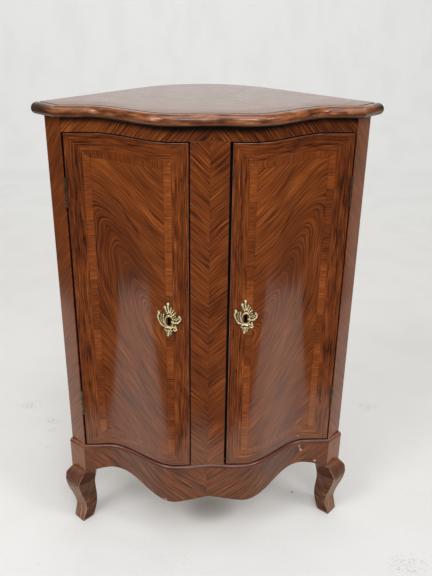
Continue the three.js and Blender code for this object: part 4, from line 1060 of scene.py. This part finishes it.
lift = plate["thick"] - rimFall + raised * smoothStep(1 - spread, 0.0, 0.06)
relief = np.clip(raised / plate["swell"], 0, 1)
for hand, own in hands.items():
    x, z = plateX + own["sign"] * own["key"][0], plateZ + own["key"][1]
    front, back = deepFace(x, plate["bedding"][0]) - lift, deepFace(x, plate["bedding"][1])
    sheets = [np.stack([x, front, z], -1), np.stack([x, back, z], -1)[::-1]]
    points = np.concatenate(sheets)
    rings, around = points.shape[:2]
    makePiece(f"{hand}_escutcheon", points, ringQuads(rings, around, rings), points[..., [0, 2]],
              f"{hand}_door", giltMetal, "gilt_brass", sharp=70,
              extra={"relief": np.concatenate([relief, relief * 0])})
print("escutcheons made")

# floor and backdrop: one pale sheet that sweeps up behind
stage = {"reach": 6.0, "back": 2.6, "bend": 1.2, "top": 5.0, "pale": (0.74, 0.735, 0.72, 1.0),
         "near": (0.56, 0.575, 0.595, 1.0), "far": (0.87, 0.875, 0.87, 1.0), "high": (0.93, 0.935, 0.94, 1.0)}
turn = np.linspace(0, math.pi / 2, 24)
bentY = stage["back"] + stage["bend"] * np.sin(turn)
sweepY = np.concatenate([[-stage["reach"]], bentY, [stage["back"] + stage["bend"]]])
sweepZ = np.concatenate([[0], stage["bend"] * (1 - np.cos(turn)), [stage["top"]]])
side = np.array([-stage["reach"], stage["reach"]])[:, None]
corners = np.stack(np.broadcast_arrays(side, sweepY, sweepZ), -1).reshape(-1, 3)
sheet = bpy.data.meshes.new("paleSweep")
near = np.arange(len(sweepY) - 1)
far = near + len(sweepY)
sheet.from_pydata(corners.tolist(), [], np.stack([near, far, far + 1, near + 1], -1).tolist())
sheet.polygons.foreach_set("use_smooth", np.ones(len(sheet.polygons), bool))
sweep = bpy.data.objects.new("paleSweep", sheet)
bpy.context.scene.collection.objects.link(sweep)

# marks on the floor, each with a place and a size
floorMarks = [(-476, 377, 30), (-403, 297, 18), (-396, 256, 13), (-390, 183, 10), (464, 333, 26),
              (406, -238, 34), (-190, -60, 8)]
# a hole; painted light under the cupboard, and painted shade under its middle: centre, reach, and where it
# fades
holePatch = ((203.0, -9.0), (2.2, 2.2), 1.0, 2.0)
underPatch = ((-20.0, -20.0), (265.0, 135.0), 0.6, 1.15)
corePatch = ((8.0, -58.0), (64.0, 44.0), 0.25, 1.15)
floorMaterial = bpy.data.materials.new("paleSweep")
floorMaterial.use_nodes = True
floor = Graph(floorMaterial.node_tree)
fx, fy, fz = floor.place()
mark = floor.noise(fx / 18.0, fy / 18.0, 0.0, 4.0, 0.6)
cloud = floor.noise(fx / 160.0, fy / 160.0, 7.0, 3.0)
fleck = floor.noise(fx / 6.0, fy / 6.0, 21.0, 2.0)
cluster = floor.noise(fx / 90.0, fy / 90.0, 33.0, 2.0)
flaked = floor.step(fleck, 0.58, 0.66) * floor.step(cluster, 0.5, 0.6) * floor.fall(fy, 0.0, 350.0)
spots = 0.0
for markX, markY, size in floorMarks:
    away = floor.away(fx, fy, (markX, markY), (size / 0.7, size)) + (mark - 0.5) * 2.5
    spots = floor.most(spots, floor.fall(away, 0.2, 1.0))
spots = spots * floor.step(fleck, 0.48, 0.62)
hole, under, core = (floor.fall(floor.away(fx, fy, centre, reach), *fade)
                     for centre, reach, *fade in (holePatch, underPatch, corePatch))
# the floor's colour: darker near the front and paler far back and up the sweep, painted to even out the
# lamps' light; mottling, flakes, marks and the hole; painted light under the cupboard and painted shade under
# its middle; and darker to the right near the front, painted shade
tint = floor.coats(
    stage["near"], (floor.step(fy, -1100.0, 300.0), stage["pale"]),
    (floor.step(fy, 1000.0, 2700.0), stage["far"]), (floor.step(fz, 100.0, 1200.0), stage["high"]),
    (floor.step(cloud, 0.4, 0.7) * 0.06, (0.4, 0.4, 0.38, 1.0)),
    (flaked * 0.16, (0.36, 0.36, 0.33, 1.0)), (spots * 0.32, (0.2, 0.2, 0.17, 1.0)),
    (hole * 0.9, (0.02, 0.02, 0.02, 1.0)), (under * (1.0 - core) * 0.62, (0.9, 0.9, 0.89, 1.0)),
    (core * 0.36, (0.38, 0.37, 0.35, 1.0)), (floor.step(mark, 0.64, 0.78) * 0.2, (0.5, 0.48, 0.45, 1.0)),
    (floor.step(fx, 0.0, 800.0) * floor.fall(fy, 300.0, 1200.0) * 0.2, (0.36, 0.36, 0.36, 1.0)))

# to mirror rays the floor is a little warmer, and dark outside a pale sheet, where the room would be
sheetSide = (1330.0, 1540.0)
glossy = floor.add("ShaderNodeLightPath", {}, {}, 3)
beside = floor.step(fx, *sheetSide) * floor.step(fy, 0.0, 300.0)
front = floor.step(fy - 40.0 - floor.fall(fx, -100.0, 100.0) * 90.0, -690.0, -540.0)
inSheet = floor.most(floor.step(fz, 150.0, 400.0), beside)
inSheet = floor.most(inSheet, front * floor.fall(abs(fx), *sheetSide))
low = glossy * floor.fall(fz, 50.0, 300.0)
sheen = low * (1.0 - beside) * (1.0 - floor.step(abs(fx), 250.0, 450.0) * 0.45)
tint = floor.blend(low * beside, tint, (1.0, 0.9, 0.77, 1.0), "MULTIPLY")
tint = floor.blend(sheen, tint, (0.91, 0.83, 0.7, 1.0), "MULTIPLY")
lit = floor.add("ShaderNodeBsdfDiffuse", {}, {"Color": tint})
unlit = floor.add("ShaderNodeBsdfDiffuse", {}, {"Color": (0.03, 0.028, 0.026, 1.0)})
both = floor.add("ShaderNodeMixShader", {}, {0: glossy * (1.0 - inSheet), 1: lit, 2: unlit})
floor.add("ShaderNodeOutputMaterial", {}, {"Surface": both})
sheet.materials.append(floorMaterial)

# light: a soft room, dim to mirror rays, and a few lamps
world = bpy.data.worlds.new("room")
bpy.context.scene.world = world
world.use_nodes = True
room = Graph(world.node_tree)
strength = room.mix(room.add("ShaderNodeLightPath", {}, {}, 3), 0.62, 0.02)
sky = room.add("ShaderNodeBackground", {}, {"Color": (1.0, 0.985, 0.96, 1.0), "Strength": strength})
room.add("ShaderNodeOutputWorld", {}, {"Surface": sky})

lamps = {
    "leftSoftbox": {"place": (-1.7, -1.7, 2.7), "aim": (0, 0, 0.6), "size": 1.1, "power": 32},
    "rightSoftbox": {"place": (2.0, -1.4, 2.6), "aim": (0, 0, 0.6), "size": 0.9, "power": 20},
    "frontSoftbox": {"place": (0.35, -2.3, 2.6), "aim": (0, 0, 0.4), "size": 0.9, "power": 22},
    "overhead": {"place": (0.2, -0.6, 2.9), "aim": (0, 0, 0.5), "size": 1.6, "power": 24},
}
for name, own in lamps.items():
    light = bpy.data.lights.new(name, "AREA")
    light.size, light.energy = own["size"], own["power"]
    lamp = bpy.data.objects.new(name, light)
    lamp.location = own["place"]
    lamp.rotation_euler = (Vector(own["aim"]) - Vector(own["place"])).to_track_quat("-Z", "Y").to_euler()
    bpy.context.scene.collection.objects.link(lamp)

# camera: where the photograph was taken from
view = {"place": (-58.0, -1220.0, 1097.0), "yaw": -3.43, "pitch": 24.21, "roll": 0.78, "focal": 689.1,
        "long": 576.0}
yaw, pitch, roll = (math.radians(view[key]) for key in ("yaw", "pitch", "roll"))
ahead = Vector((-math.sin(yaw) * math.cos(pitch), math.cos(yaw) * math.cos(pitch), -math.sin(pitch)))
level = Vector((math.cos(yaw), math.sin(yaw), 0))
upright = level.cross(ahead)
across = level * math.cos(roll) + upright * math.sin(roll)
upward = upright * math.cos(roll) - level * math.sin(roll)
lens = bpy.data.cameras.new("camera")
lens.sensor_width = 36.0
lens.lens = view["focal"] * 36.0 / view["long"]
lens.clip_start, lens.clip_end = 0.05, 50.0
camera = bpy.data.objects.new("camera", lens)
bpy.context.scene.collection.objects.link(camera)
facing = Matrix((across, upward, -ahead)).transposed().to_4x4()
spot = Vector(view["place"]) * 0.001 + Vector((0, planShift * 0.001, 0))
camera.matrix_world = Matrix.Translation(spot) @ facing
bpy.context.scene.camera = camera
bpy.context.scene.view_settings.view_transform = "Standard"
print("stage, lamps and camera set")
